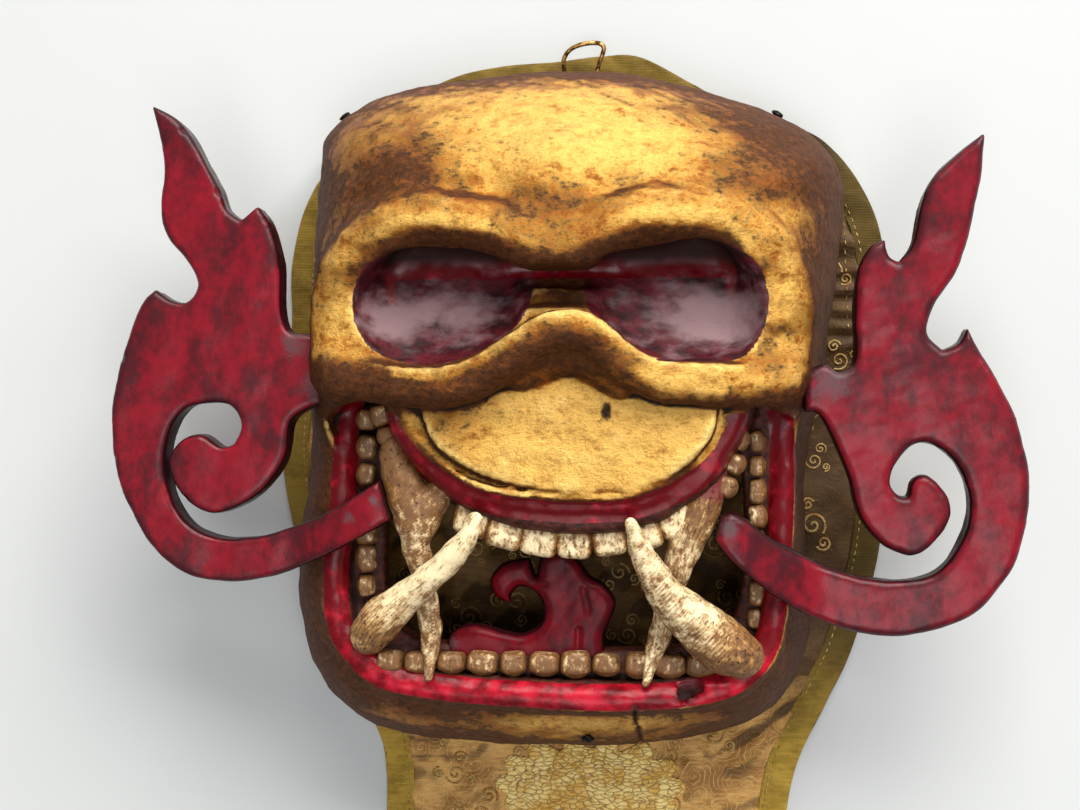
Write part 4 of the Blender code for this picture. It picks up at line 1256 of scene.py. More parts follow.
    def hollow_out(self, block: Block, inset: np.ndarray, rounding: np.ndarray) -> None:
        """Opens the back and cuts the mouth through.

        Args:
            block: The block being carved.
            inset: Depth inside the outline.
            rounding: How far in from the outline the face is rounded.
        """
        x, y, z = block.x, block.y, block.z
        tall = 90.0 + 20.0 * ease(78.0, 110.0, y) - 14.0 * (1.0 - ease(-44.0, -14.0, y))
        self.hollow_form = pillow(inset - self.wall, z, tall, rounding)
        gouged = self.hollow_form + 0.6 * ripple(x, y, z, 14.0, 9)
        block.whole(gouged, soft=4.0, carve=True)
        depth = depth_inside(spline(self.mouth_outline, closed=True, steps=3), x, y)
        block.whole(-depth + 0.0 * z, soft=3.0, carve=True)

    def in_socket(self, x: np.ndarray, y: np.ndarray, z: np.ndarray) -> np.ndarray:
        """Finds which places lie in the two bowls of the eyes.

        Args:
            x: Places across.
            y: Places up.
            z: Heights.

        Returns:
            The share of each place, from 0 to 1.
        """
        share = np.zeros(len(x))
        for outline in self.sockets:
            depth = depth_inside(spline(outline, closed=True), x, self.under_brow(y, z))
            share = np.maximum(share, ease(-1.0, 0.8, depth))
        return share * (ease(90.0, 96.0, z) * ease(131.0, 128.0, z - 12.0 * ease(24.0, 18.0, y)))

    def wear_and_painted_light(self, points: np.ndarray, facing: np.ndarray, upper: np.ndarray,
               lower: np.ndarray) -> np.ndarray:
        """Finds how brown and worn the leaf is.

        Args:
            points: The mesh's corners in bench millimetres.
            facing: The way each corner faces.
            upper: Depth inside the upper lip's curve.
            lower: Depth inside the lower lip's curve.

        Returns:
            The brownness of each corner, from 0 to 1.
        """
        x, y, z = points.T
        muzzle = ease(-1.0, 2.0, upper) * ease(20.0, 10.0, y)
        jaw = ease(-4.0, -9.0, lower) * ease(-20.0, -50.0, y) * ease(-172.0, -150.0, y)
        # Painted shade on the faces that turn downwards, high on the face.
        faces_down = ease(0.05, 0.65, -facing[:, 1]) * ease(100.0, 108.0, z)
        # Under the cheek band's crest the leaf gets painted shade, strongest on the left; on the
        # far right the term turns slightly lighter.
        band = np.array(self.cheek_band)
        drop = np.interp(x, band[:, 0], band[:, 1]) + self.crest[0] - y
        band_foot = ease(2.5, 6.0, drop) * ease(17.0, 13.0, drop) * ease(96.0, 104.0, z)
        # Painted highlight in a strip just under each brow crest.
        strip = 0.0
        for crest in self.brow_crests:
            line = np.array(crest)
            beneath = np.interp(x, line[:, 0], line[:, 1], left=FAR, right=FAR) - y
            along = (x - line[0, 0]) / (line[-1, 0] - line[0, 0])
            strip = np.maximum(strip, ease(-5.0, 1.0, beneath) * ease(14.0, 3.0, beneath)
                               * ease(0.0, 0.25, along) * ease(1.0, 0.75, along))
        right_temple = ease(30.0, 110.0, x) * ease(92.0, 108.0, y) * ease(170.0, 140.0, y)
        rims = sum(spot(x, y, side, 52.0, 7.5, 26.0) for side in (-119.0, 104.0))
        left_temple = spot(x, y, -98.0, 114.0, 34.0, 18.0)
        # Painted highlight across the middle of the upper face.
        forehead = spot(x, y, 8.0, 130.0, 72.0, 24.0)
        bridge = spot(x, y, -9.0, 60.0, 25.0, 9.0)
        frown = spot(x, y, -8.0, 96.0, 34.0, 17.0)
        # In this sum: painted shade on faces turned downwards and under the cheek band; painted
        # highlights across the upper face, under the brow crests and on faces turned to the top
        # near the top edge. The leaf is also browner where the surface turns from front to side,
        # and along the top edge.
        worn = (0.24 + 0.7 * ease(0.74, 0.2, facing[:, 2]) + 0.34 * left_temple
                - 0.3 * forehead - 0.3 * ease(0.5, 0.9, facing[:, 1]) * ease(146.0, 162.0, y)
                - 0.24 * strip - 0.17 * rims + 0.2 * ease(-20.0, -60.0, x) * band_foot
                + 0.18 * ease(152.0, 174.0, y) + 0.4 * jaw - 0.3 * muzzle + 0.28 * right_temple
                + 0.2 * frown + 0.5 * faces_down
                + (0.2 - 0.28 * ease(15.0, 60.0, x)) * band_foot
                + 0.26 * ease(-20.0, -60.0, x) * ease(24.0, 14.0, y) + 0.6 * bridge
                + 0.25 * ease(-176.0, -188.0, y)
                + (0.46 * ease(40.0, 105.0, x) - 0.2) * ease(-148.0, -158.0, y))
        return np.clip(worn, 0.0, 1.0)

    def hurt_marks(self, x: np.ndarray, y: np.ndarray) -> np.ndarray:
        """Finds the darkening in the two chips and in the crack.

        Args:
            x: Places across.
            y: Places up.

        Returns:
            The darkening at each place.
        """
        lean = x - self.lip_chip[0] - 0.5 * (y - self.lip_chip[1])
        chip = 0.62 * np.exp(-((lean / 6.5) ** 4 + ((y - self.lip_chip[1]) / 6.0) ** 4))
        nick = np.exp(-(((x - self.muzzle_chip[0]) / 3.0) ** 2
                        + ((y - self.muzzle_chip[1]) / 5.0) ** 2) ** 2)
        split = np.exp(-(self.off_crack(x, y) / 1.1) ** 2)
        split *= ease(self.crack_y[1] + 1.0, self.crack_y[1] - 1.0, y)
        return chip + nick + 0.45 * split

    def marks(self, block: Block, points: np.ndarray, facing: np.ndarray
              ) -> dict[str, np.ndarray]:
        """Works out where leaf, lacquer, dark coats, painted sheen and painted shade lie.

        Args:
            block: The carved block.
            points: The mesh's corners in bench millimetres.
            facing: The way each corner faces.

        Returns:
            The marks that the gilding reads.
        """
        x, y, z = points.T
        fine, broad = (block.read(block.fullness(reach), points)
                       for reach in (self.fine_reach, self.broad_reach))
        inside = ease(2.4, 1.2, np.abs(block.read(self.hollow_form, points)))
        inside = np.maximum(inside, ease(16.0, 10.0, z) * ease(0.0, -0.4, facing[:, 2]))
        outside = 1.0 - inside
        upper, lower = (
            depth_inside(np.vstack([spline(lip)[:, :2], (lip[-1][0], 70.0), (lip[0][0], 70.0)]),
                         x, y) for lip in (self.lip_ridge, self.lower_lip))
        socket = self.in_socket(x, y, z)
        below = 1.0 - ease(-10.0, -3.0, y) * ease(104.0, 108.0, z)
        side = ease(-128.0, -112.0, y)
        over_lip = ease(-1.2, -2.6, upper) * ease(-13.4, -11.6, upper) * ease(96.0, 100.0, z)
        under_lip = ease(-5.6, -4.2, lower) * ease(9.0, 6.5, lower)
        gum = (ease(5.5 - 3.5 * side, 8.5 - 3.5 * side, lower) * ease(-11.4, -13.2, upper)
               * ease(10.0, 0.0, y) * below)
        clean = 1.0 - 0.85 * np.exp(-((upper - 2.5) / 2.2) ** 2) * ease(10.0, 0.0, y)
        clean -= 0.6 * np.exp(-((upper + 8.0) / 3.5) ** 2) * ease(10.0, 0.0, y)
        clean -= 0.85 * ease(84.0, 90.0, y) * ease(134.0, 120.0, y)
        # The socket term paints the shadow that the brows cast into the tops of the sockets.
        hollow = np.clip(ease(0.55, 0.76, fine) + 0.7 * ease(0.6, 0.82, broad)
                         + 1.1 * socket * ease(60.0, 80.0, y), 0, 1)
        return {
            "ridge": ease(0.47, 0.28, fine), "inside": inside, "shaded": side,
            "hollow": hollow * outside * clean + self.hurt_marks(x, y),
            "socket": socket * outside, "gum": gum * outside,
            "painted_sheen": sum(spot(x, y, *place) for place in self.sheen_spots),
            "lacquer": np.maximum(over_lip, under_lip) * below * outside,
            "wear_and_painted_light": self.wear_and_painted_light(points, facing, upper, lower),
            "bare": 0.5 * spot(x, y, 0.0, 181.0, 11.0, 5.0) * ease(40.0, 24.0, z),
        }

    def build(self, bench: Bench, finish: bpy.types.Material) -> None:
        """Carves the shell, thins its flat parts and dresses it.

        Args:
            bench: Where it goes.
            finish: Its gilding.
        """
        block = self.carve()
        points, faces = block.skin()
        rough = add_object("rough_shell", bench.mesh("rough_shell", points, faces))
        thin = rough.modifiers.new("thin", "DECIMATE")
        thin.ratio = min(1.0, self.most_triangles / (2.0 * len(faces)))
        mesh = bake_modifiers(rough, "carved_shell")
        mesh.shade_smooth()
        write_marks(mesh, self.marks(block, *bench.corners(mesh)))
        add_piece("carved_shell", mesh, finish, ("mask_shell",))


# ---- Horned teeth ----
@dataclass
class HornedTooth:
    """A long tusk or fang, carved round and let into the gum."""

    name: str
    stands_for: str
    path: Outline
    forks: tuple[Outline, ...] = ()
    flat: float = 0.9
    red_root: float = 0.0
    age_and_shade: float = 0.0
    step: float = 0.9
    seed: int = 1

    def build(self, bench: Bench, finish: bpy.types.Material) -> None:
        """Carves the tooth and dresses it.

        Args:
            bench: Where it goes.
            finish: Its paint.
        """
        chains = [np.array(points, float) for points in (self.path, *self.forks)]
        every = np.vstack(chains)
        margin = every[:, 3].max() + 4.0
        block = Block(every[:, :3].min(axis=0) - margin, every[:, :3].max(axis=0) + margin,
                      self.step)
        for chain in chains:
            block.band(chain, soft=4.0, steps=6, flat=self.flat)
        x, y, z = block.x, block.y, block.z
        block.field += (0.3 * ripple(x, y, z, 11.0, self.seed)
                        + 0.12 * ripple(x, y, z, 4.0, self.seed + 50))
        mesh = bench.mesh(self.name, *block.skin())
        points, facing = bench.corners(mesh)
        spine = spline(self.path, steps=8)[:, :3]
        runs = np.linalg.norm(np.diff(spine, axis=0), axis=1)
        length = np.concatenate(([0.0], np.cumsum(runs)))
        gap = points[:, None, :] - spine[None, :, :]
        nearest = np.argmin((gap ** 2).sum(axis=2), axis=1)
        off = gap[np.arange(len(points)), nearest]
        tangent = np.gradient(spine, axis=0)
        tangent /= np.linalg.norm(tangent, axis=1)[:, None]
        along = length[nearest] + (off * tangent[nearest]).sum(axis=1)
        share = along / length[-1]
        fine = block.read(block.fullness(2.2), points)
        # The mark of age and shade adds painted shade on the sides that turn downwards.
        write_marks(mesh, {
            "grain": np.column_stack([off[:, 0] - off[:, 1], off[:, 2], along]),
            "foot": ease(0.42, 0.02, share), "hollow": ease(0.56, 0.8, fine),
            "red": self.red_root * ease(0.3, 0.02, share),
            "age_and_shade": self.age_and_shade + 0.4 * ease(0.3, 0.95, -facing[:, 1]),
        })
        add_piece(self.name, mesh, finish, (self.stands_for,))


# ---- Small teeth ----
@dataclass
class ToothRow:
    """A row of small teeth along a gum, all cut from one pattern."""

    name: str
    path: Outline
    count: int
    size: Place
    seed: int
    age_and_shade: float = 0.4
    uneven: float = 0.1
    cuts: int = 6

    def pattern(self) -> bpy.types.Object:
        """Makes one tooth, a unit tall, its biting edge straight and its root round.

        Returns:
            The tooth, linked to the scene.
        """
        work = bmesh.new()
        bmesh.ops.create_cube(work, size=2.0)
        bmesh.ops.subdivide_edges(work, edges=work.edges[:], cuts=self.cuts, use_grid_fill=True)
        for corner in work.verts:
            x, y, z = corner.co
            square = 5.0 - 3.0 * float(ease(0.0, 0.9, -y))
            shrink = (abs(x) ** square + abs(y) ** square + abs(z) ** 2.6) ** (-1.0 / square)
            corner.co = Vector((x * (1.0 - 0.06 * y), y, z)) * (0.5 * min(shrink, 1.0))
        mesh = bpy.data.meshes.new("tooth_pattern")
        work.to_mesh(mesh)
        work.free()
        mesh.shade_smooth()
        across, tall, _ = np.array([corner.co for corner in mesh.vertices]).T
        write_marks(mesh, {"foot": np.maximum(ease(0.1, -0.5, tall) * 0.9,
                                              ease(0.3, 0.48, np.abs(across)) * 1.2)})
        return add_object("tooth_pattern", mesh)

    def tree(self) -> bpy.types.NodeTree:
        """Writes the nodes that set the teeth along their gum.

        Returns:
            The tree.
        """
        recipe, given = start_tree(self.name, "Teeth", {
            "Gum": "Geometry", "Tooth": "Object", "Count": "Int", "Size": "Vector",
            "Unevenness": "Float", "Paint": "Material"})
        add = recipe.add
        line = add("GeometryNodeMeshToCurve", inputs={0: given["Gum"]})
        line = add("GeometryNodeResampleCurve", inputs={"Curve": line, "Count": given["Count"]})
        turn = add("FunctionNodeAlignRotationToVector", {"axis": "X", "pivot_axis": "Z"},
                   {"Vector": add("GeometryNodeInputTangent")})
        tilt = add("FunctionNodeRandomValue", {"data_type": "FLOAT_VECTOR"},
                   {0: (-0.06, -0.08, -0.1), 1: (0.06, 0.08, 0.1), "Seed": self.seed})
        turn = add("FunctionNodeRotateRotation", {"rotation_space": "LOCAL"}, {0: turn, 1: tilt})
        spread = add("FunctionNodeRandomValue", {"data_type": "FLOAT_VECTOR"},
                     {0: (-1.0, -1.0, -1.0), 1: (1.0, 1.0, 1.0), "Seed": self.seed + 1})
        spread = add("ShaderNodeVectorMath", {"operation": "SCALE"},
                     {0: spread, "Scale": given["Unevenness"]})
        spread = add("ShaderNodeVectorMath", {"operation": "ADD"}, {0: spread, 1: (1, 1, 1)})
        size = add("ShaderNodeVectorMath", {"operation": "MULTIPLY"},
                   {0: spread, 1: given["Size"]})
        tooth = add("GeometryNodeObjectInfo", inputs={"Object": given["Tooth"]},
                    output="Geometry")
        rows = add("GeometryNodeInstanceOnPoints",
                   inputs={"Points": line, "Instance": tooth, "Rotation": turn, "Scale": size})
        return end_tree(recipe, rows, given["Paint"])

    def build(self, bench: Bench, finish: bpy.types.Material) -> None:
        """Sets the row and dresses it.

        Args:
            bench: Where it goes.
            finish: Its paint.
        """
        tooth = self.pattern()
        mesh = run_nodes(self.name, bench.to_frame(spline(self.path, steps=6)), self.tree(), {
            "Tooth": tooth, "Count": self.count,
            "Size": tuple(side * MM for side in self.size), "Unevenness": self.uneven,
            "Paint": finish})
        bpy.data.objects.remove(tooth)
        points, _ = bench.corners(mesh)
        write_marks(mesh, {"grain": points[:, (0, 2, 1)] * (0.6, 0.6, 2.2),
                           "age_and_shade": np.full(len(points), self.age_and_shade)})
        add_piece(self.name, mesh, finish)


def start_tree(name: str, result: str, inputs: dict[str, str]
               ) -> tuple[Recipe, dict[str, Socket]]:
    """Starts a tree of geometry nodes with named inputs and one named result.

    Args:
        name: The tree's name.
        result: What its finished geometry is called.
        inputs: The kind of each input under its name.

    Returns:
        The tree to write on, and its inputs under their names.
    """
    tree = bpy.data.node_groups.new(name, "GeometryNodeTree")
    for label, kind in inputs.items():
        tree.interface.new_socket(label, in_out="INPUT", socket_type=f"NodeSocket{kind}")
    tree.interface.new_socket(result, in_out="OUTPUT", socket_type="NodeSocketGeometry")
    entrance = tree.nodes.new("NodeGroupInput")
    return Recipe(tree), {label: entrance.outputs[label] for label in inputs}


def end_tree(recipe: Recipe, instances: Socket, material: Socket) -> bpy.types.NodeTree:
    """Ends a tree of geometry nodes with real meshes that carry their material.

    Args:
        recipe: The tree being written.
        instances: What it has laid out.
        material: The material that everything gets.

    Returns:
        The finished tree.
    """
    real = recipe.add("GeometryNodeRealizeInstances", inputs={0: instances})
    dressed = recipe.add("GeometryNodeSetMaterial",
                         inputs={"Geometry": real, "Material": material})
    recipe.fill(recipe.tree.nodes.new("NodeGroupOutput"), {0: dressed})
    return recipe.tree


def run_nodes(name: str, line: np.ndarray, tree: bpy.types.NodeTree, values: dict,
              closed: bool = False, filled: bool = False) -> bpy.types.Mesh:
    """Runs a tree of geometry nodes on a line or a flat sheet, and keeps the plain mesh.

    Args:
        name: The mesh's name.
        line: The line's points in frame metres.
        tree: The nodes.
        values: What goes into the tree's named inputs.
        closed: Whether the line comes back to its start.
        filled: Whether the closed line is the edge of a flat sheet.

    Returns:
        The finished mesh.
    """
    base = bpy.data.meshes.new(name)
    count = len(line)
    edges = [(i, (i + 1) % count) for i in range(count if closed else count - 1)]
    base.from_pydata(line.tolist(), [] if filled else edges,
                     [list(range(count))] if filled else [])
    carrier = add_object(name, base)
    modifier = carrier.modifiers.new("nodes", "NODES")
    modifier.node_group = tree
    for item in tree.interface.items_tree:
        if item.in_out == "INPUT" and item.name in values:
            modifier[item.identifier] = values[item.name]
    mesh = bake_modifiers(carrier, name)
    mesh.shade_smooth()
    return mesh


# ---- Boards ----
@dataclass
class CarvedBoard:
    """A flat board sawn to an outline, its edges rounded over: a scroll ear or the tongue."""

    name: str
    stands_for: str
    outline: Outline
    corners: tuple[int, ...]
    middle: float
    thick: float
    edge: float = 3.2
    arm: tuple[float, float] | None = None
    rise: float = 17.0
    grooves: tuple[Outline, ...] = ()
    dusty: tuple[tuple[float, float, float], ...] = ()
    chips: int = 14
    step: float = 1.25
    seed: int = 1

    def build(self, bench: Bench, finish: bpy.types.Material) -> None:
        """Saws, rounds and dresses the board.

        Args:
            bench: Where it goes.
            finish: Its lacquer.
        """
        curve = spline(self.outline, closed=True, corners=self.corners, steps=6)
        half, lift = self.thick / 2, self.rise if self.arm else 0.0
        low, high = curve.min(axis=0) - 4.0, curve.max(axis=0) + 4.0
        block = Block((*low, self.middle - half - 4.0), (*high, self.middle + half + lift + 4.0),
                      self.step)
        x, y, z = block.x, block.y, block.z
        if self.arm:
            foot, tip = self.arm
            raised = ease(0.0, 1.0, (x - foot) / (tip - foot)) * (1.0 - ease(-42.0, -30.0, y))
            z = z - lift * raised
        depth = depth_inside(curve, x, y)
        across = self.edge - depth
        through = np.abs(z - self.middle) - half + self.edge
        form = (np.hypot(np.maximum(across, 0.0), np.maximum(through, 0.0))
                + np.minimum(np.maximum(across, through), 0.0) - self.edge)
        block.whole(form.astype(np.float32), soft=0.1)
        block.field += (0.32 * ripple(x, y, z, 26.0, self.seed)
                        + 0.08 * ripple(x, y, z, 8.0, self.seed + 7))
        for groove in self.grooves:
            block.band(groove, soft=1.5, carve=True)
        self.chip(block, curve, z)
        mesh = bench.mesh(self.name, *block.skin())
        points, facing = bench.corners(mesh)
        fine = block.read(block.fullness(3.0), points)
        dust = sum(np.exp(-((points[:, 0] - cx) ** 2 + (points[:, 1] - cy) ** 2) / wide ** 2)
                   for cx, cy, wide in self.dusty) if self.dusty else np.zeros(len(points))
        rim = ease(6.5, 1.0, depth_inside(curve, points[:, 0], points[:, 1]))
        write_marks(mesh, {"side": ease(0.75, 0.3, np.abs(facing[:, 2])), "rim": rim,
                           "hollow": ease(0.55, 0.78, fine), "dust": dust})
        add_piece(self.name, mesh, finish, (self.stands_for,))

    def chip(self, block: Block, curve: np.ndarray, z: np.ndarray) -> None:
        """Knocks small chips out of the board's front edge.

        Args:
            block: The sawn board.
            curve: Its outline.
            z: Heights over the unbent board.
        """
        rng = np.random.default_rng(self.seed)
        for _ in range(self.chips):
            cx, cy = curve[rng.integers(len(curve))]
            size = rng.uniform(1.2, 2.6)
            hole = np.sqrt((block.x - cx) ** 2 + (block.y - cy) ** 2
                           + (z - self.middle - self.thick / 2) ** 2) - size
            block.whole(hole, soft=0.8, carve=True)


# ---- Wire and nails ----
def tube(curve: np.ndarray, sides: int) -> tuple[list, list]:
    """Runs a round closed tube along a curve.

    Args:
        curve: Rows of x, y, height and radius.
        sides: How many sides the tube has.

    Returns:
        Its corners and its faces.
    """
    points, faces = [], []
    count = len(curve)
    for index, row in enumerate(curve):
        ahead = curve[min(index + 1, count - 1)][:3] - curve[max(index - 1, 0)][:3]
        tangent = Vector(ahead).normalized()
        side = tangent.cross(Vector((0, 0, 1))).normalized()
        up = side.cross(tangent).normalized()
        for turn in range(sides):
            angle = 2 * math.pi * turn / sides
            push = side * math.cos(angle) + up * math.sin(angle)
            points.append(tuple(Vector(row[:3]) + push * row[3]))
    for ring in range(count - 1):
        for turn in range(sides):
            after = (turn + 1) % sides
            faces.append([ring * sides + turn, ring * sides + after,
                          (ring + 1) * sides + after, (ring + 1) * sides + turn])
    faces.append(list(range(sides))[::-1])
    faces.append([(count - 1) * sides + turn for turn in range(sides)])
    return points, faces


@dataclass
class WireHanger:
    """The bent brass wire that the mask hangs by, its ends let into the top edge."""

    path: Outline = (
        (-12, 178, 13), (-13, 187, 14.5), (-13, 193, 16), (-9, 198, 17.5), (-2, 200.5, 18.3),
        (6, 201, 18), (9.5, 198.5, 17.2), (8, 193, 16), (6, 187, 14.8), (5.5, 178, 13),
    )
    radius: float = 1.3
    sides: int = 14

    def build(self, bench: Bench, finish: bpy.types.Material) -> None:
        """Bends the wire and dresses it.

        Args:
            bench: Where it goes.
            finish: Its metal.
        """
        curve = spline(tuple((*point, self.radius) for point in self.path), steps=10)
        mesh = bench.mesh("wire_hanger", *tube(curve, self.sides))
        add_piece("wire_hanger", mesh, finish, ("hanging_loop",))


@dataclass
class RimNails:
    """Hand-forged nails whose dark heads hold the hood to the rim."""

    places: tuple[tuple[Place, Place], ...] = (
        ((-131.2, 155.9, 47.7), (-0.58, 0.78, 0.23)), ((104.6, 155.1, 37.8), (0.41, 0.89, 0.18)),
        ((4.5, -175.5, 86.0), (0.03, -0.8, 0.6)),
    )
    profile: Outline = ((-7.0, 0.9), (-0.4, 1.2), (0.0, 3.0), (0.5, 3.5), (1.3, 3.3),
                        (1.9, 2.5), (2.2, 1.1), (2.25, 0.3))
    sides: int = 16

    def build(self, bench: Bench, finish: bpy.types.Material) -> None:
        """Forges the nails and dresses them.

        Args:
            bench: Where they go.
            finish: Their metal.
        """
        points, faces = [], []
        for place, facing in self.places:
            out = np.array(facing) / np.linalg.norm(facing)
            curve = np.array([(*(np.array(place) + out * along), wide)
                              for along, wide in self.profile])
            corners, sides = tube(curve, self.sides)
            faces += [[len(points) + corner for corner in ring] for ring in sides]
            points += corners
        uneven = np.array(points)
        uneven += 0.25 * ripple(*uneven.T, 3.0, 5)[:, None]
        mesh = bench.mesh("rim_nails", uneven, faces)
        add_piece("rim_nails", mesh, finish,
                  ("nail_top_left", "nail_top_right", "nail_chin"))


# ---- The cloth hood ----
def inset_outline(outline: np.ndarray, width: float) -> np.ndarray:
    """Moves a closed outline inwards.

    Args:
        outline: Its corners, clockwise, one a row.
        width: How far in.

    Returns:
        The moved corners.
    """
    before, after = np.roll(outline, 1, axis=0), np.roll(outline, -1, axis=0)
    lead, trail = after - outline, outline - before
    lead = lead / np.linalg.norm(lead, axis=1)[:, None]
    trail = trail / np.linalg.norm(trail, axis=1)[:, None]
    turn_in = np.stack([lead[:, 1] + trail[:, 1], -lead[:, 0] - trail[:, 0]], axis=1)
    turn_in /= np.linalg.norm(turn_in, axis=1)[:, None]
    across = np.abs(turn_in[:, 0] * trail[:, 1] - turn_in[:, 1] * trail[:, 0])
    return outline + turn_in * (width / np.maximum(across, 0.5))[:, None]


def area_of(outline: np.ndarray) -> float:
    """Measures a closed outline's area in its own unit squared."""
    x, y = outline[:, 0], outline[:, 1]
    return 0.5 * abs(float(x @ np.roll(y, 1) - y @ np.roll(x, 1)))


class Weave(Enum):
    """The cloths of the hood."""

    GROUND = "bronze_satin_brocade"
    BORDER = "olive_silk"
    THREAD = "pale_gold_thread"
    CORD = "gilt_cord"


@dataclass
class SilkHood:
    """The open hood: a figured brocade with a plain silk border, lying flat."""

    outline: Outline = (
        (-84, 184), (-51, 192), (-19, 194), (7, 197), (30, 196), (60, 180), (84, 166),
        (112, 157), (134, 146), (154, 121), (166, 88), (171, 28), (168, -28), (164, -84),
        (150, -137), (134, -172), (118, -206), (111, -245), (108, -299), (-121, -299),
        (-117, -245), (-118, -204), (-128, -178), (-148, -140), (-166, -92), (-175, -58),
        (-178, -23), (-173, 41), (-172, 82), (-160, 122), (-128, 160),
    )
    corners: tuple[int, ...] = (18, 19)
    border_width: float = 16.0
    overlap: float = 1.2
    thick: float = 0.9
    grid: tuple[int, int] = (205, 150)
    scroll_spacing: float = 27.0
    scroll_curl: float = 6.4
    cord: float = 0.7
    stitch_pitch: float = 4.4
    gather_pitch: float = 4.9
    seam_in: float = 3.0
    cord_margin: float = 13.0
    hem_margin: float = 22.0
    lie: float = 2.9
    # Each billow has a height, a size and a seed.
    billows: tuple[tuple[float, float, int], ...] = ((0.8, 46.0, 21), (0.5, 16.0, 22))
    pushed_up: float = 9.0
    rim: Outline = GildedHead.outline
    rim_wide: float = 11.0
    under_rim: float = 4.7
    # Each fold runs from one place to another, with its height and width.
    folds: Outline = (
        (126, 72, 158, 74, 3.0, 3.4), (124, 61, 158, 63, 4.2, 3.0), (124, 52, 156, 50, 4.4, 2.8),
        (125, 42, 156, 41, 4.2, 3.0), (128, 30, 152, 32, 2.8, 3.6), (128, 92, 150, 88, 2.4, 4.4),
        (-105, -190, -62, -194, 2.2, 3.6), (-108, -200, -66, -199, 2.0, 3.0),
        (70, -196, 122, -158, 2.4, 4.5), (84, -204, 126, -170, 2.0, 3.6),
        (-60, -262, 30, -268, 1.6, 7.0), (60, -250, 96, -236, 1.6, 6.0),
        (-60, -90, -20, -120, 7.0, 12.0), (30, -70, 60, -126, 8.0, 13.0),
        (-80, -60, -72, -116, 6.0, 10.0), (-10, -60, 8, -128, 5.0, 9.0),
    )
    gather: Outline = ((143, 120, 0), (144.5, 94, 0), (145.5, 68, 0), (146.3, 42, 0))
    # Each curl of a scroll has a place in curl sizes, a turn and a size.
    curls: tuple[tuple[Place, float, float], ...] = (
        ((0.0, 0.0, 0.0), 0.0, 1.0), ((1.5, 0.5, 0.0), 2.4, 0.72),
        ((-0.9, 1.3, 0.0), 4.3, 0.6), ((0.5, -1.5, 0.0), 1.1, 0.5),
    )

    def edge(self, steps: int = 8) -> np.ndarray:
        """Draws the hood's outer edge."""
        return spline(self.outline, closed=True, corners=self.corners, steps=steps)

    def height(self, x: np.ndarray, y: np.ndarray) -> np.ndarray:
        """Finds the top of the cloth.

        Args:
            x: Places across.
            y: Places up.

        Returns:
            Heights in millimetres.
        """
        inside = depth_inside(spline(self.rim, closed=True), x, y)
        off_rim = np.abs(inside - self.rim_wide / 2) - self.rim_wide / 2
        high = self.lie
        for tall, size, seed in self.billows:
            high = high + tall * ripple(x, y, 0.0, size, seed)
        high = high + self.pushed_up * ease(10.0, 55.0, inside)
        for ax, ay, bx, by, tall, wide in self.folds:
            run = np.array((bx - ax, by - ay), float)
            along = np.clip(((x - ax) * run[0] + (y - ay) * run[1]) / (run @ run), 0.0, 1.0)
            away = np.hypot(x - ax - along * run[0], y - ay - along * run[1])
            high = high + tall * np.exp(-(away / wide) ** 2)
        room = self.under_rim + 14.0 * ease(0.0, 20.0, off_rim)
        return np.maximum(np.minimum(high, room), 1.5)

    def border_height(self, x: np.ndarray, y: np.ndarray) -> np.ndarray:
        """Finds the middle height of the border, which lies flatter than the panel."""
        return self.height(x, y) * 0.6 + 1.2

    def panel(self, bench: Bench) -> bpy.types.Mesh:
        """Sews the brocade panel as a thin closed sheet.

        Args:
            bench: Where it goes.

        Returns:
            Its mesh.
        """
        edge = inset_outline(self.edge(), self.border_width - self.overlap)
        rows, columns = self.grid
        levels = np.linspace(edge[:, 1].min() + 0.05, edge[:, 1].max() - 0.25, rows)
        places = []
        for level in levels:
            after = np.roll(edge, -1, axis=0)
            hit = (edge[:, 1] > level) != (after[:, 1] > level)
            a, b = edge[hit], after[hit]
            cross = a[:, 0] + (b[:, 0] - a[:, 0]) * (level - a[:, 1]) / (b[:, 1] - a[:, 1])
            places.append(np.column_stack([np.linspace(cross.min(), cross.max(), columns),
                                           np.full(columns, level)]))
        flat = np.array(places)
        top = self.height(flat[..., 0], flat[..., 1])
        points = np.concatenate([np.dstack([flat, top]).reshape(-1, 3),
                                 np.dstack([flat, top - self.thick]).reshape(-1, 3)])
        count = rows * columns
        number = np.arange(count).reshape(rows, columns)
        squares = np.stack([number[:-1, :-1], number[:-1, 1:], number[1:, 1:], number[1:, :-1]],
                           axis=-1).reshape(-1, 4)
        round_it = np.concatenate([number[0, :-1], number[:-1, -1], number[-1, :0:-1],
                                   number[:0:-1, 0]])
        ahead = np.roll(round_it, -1)
        walls = np.stack([round_it + count, ahead + count, ahead, round_it], axis=-1)
        faces = np.concatenate([squares, squares[:, ::-1] + count, walls])
        mesh = bench.mesh("brocade_panel", points, faces)
        within = depth_inside(spline(self.rim, closed=True), points[:, 0], points[:, 1])
        slope = np.gradient(np.gradient(top, axis=0), axis=0) / np.ptp(levels) * rows
        # The valleys of the folds, which the brocade paints darker as shade.
        crease = ease(0.05, 0.8, slope * 8.0).ravel()
        write_marks(mesh, {"figured": 1.0 - 0.75 * ease(0.0, 30.0, within),
                           "crease": np.concatenate([crease, crease]),
                           "painted_shade": self.painted_shade(points)})
        return mesh

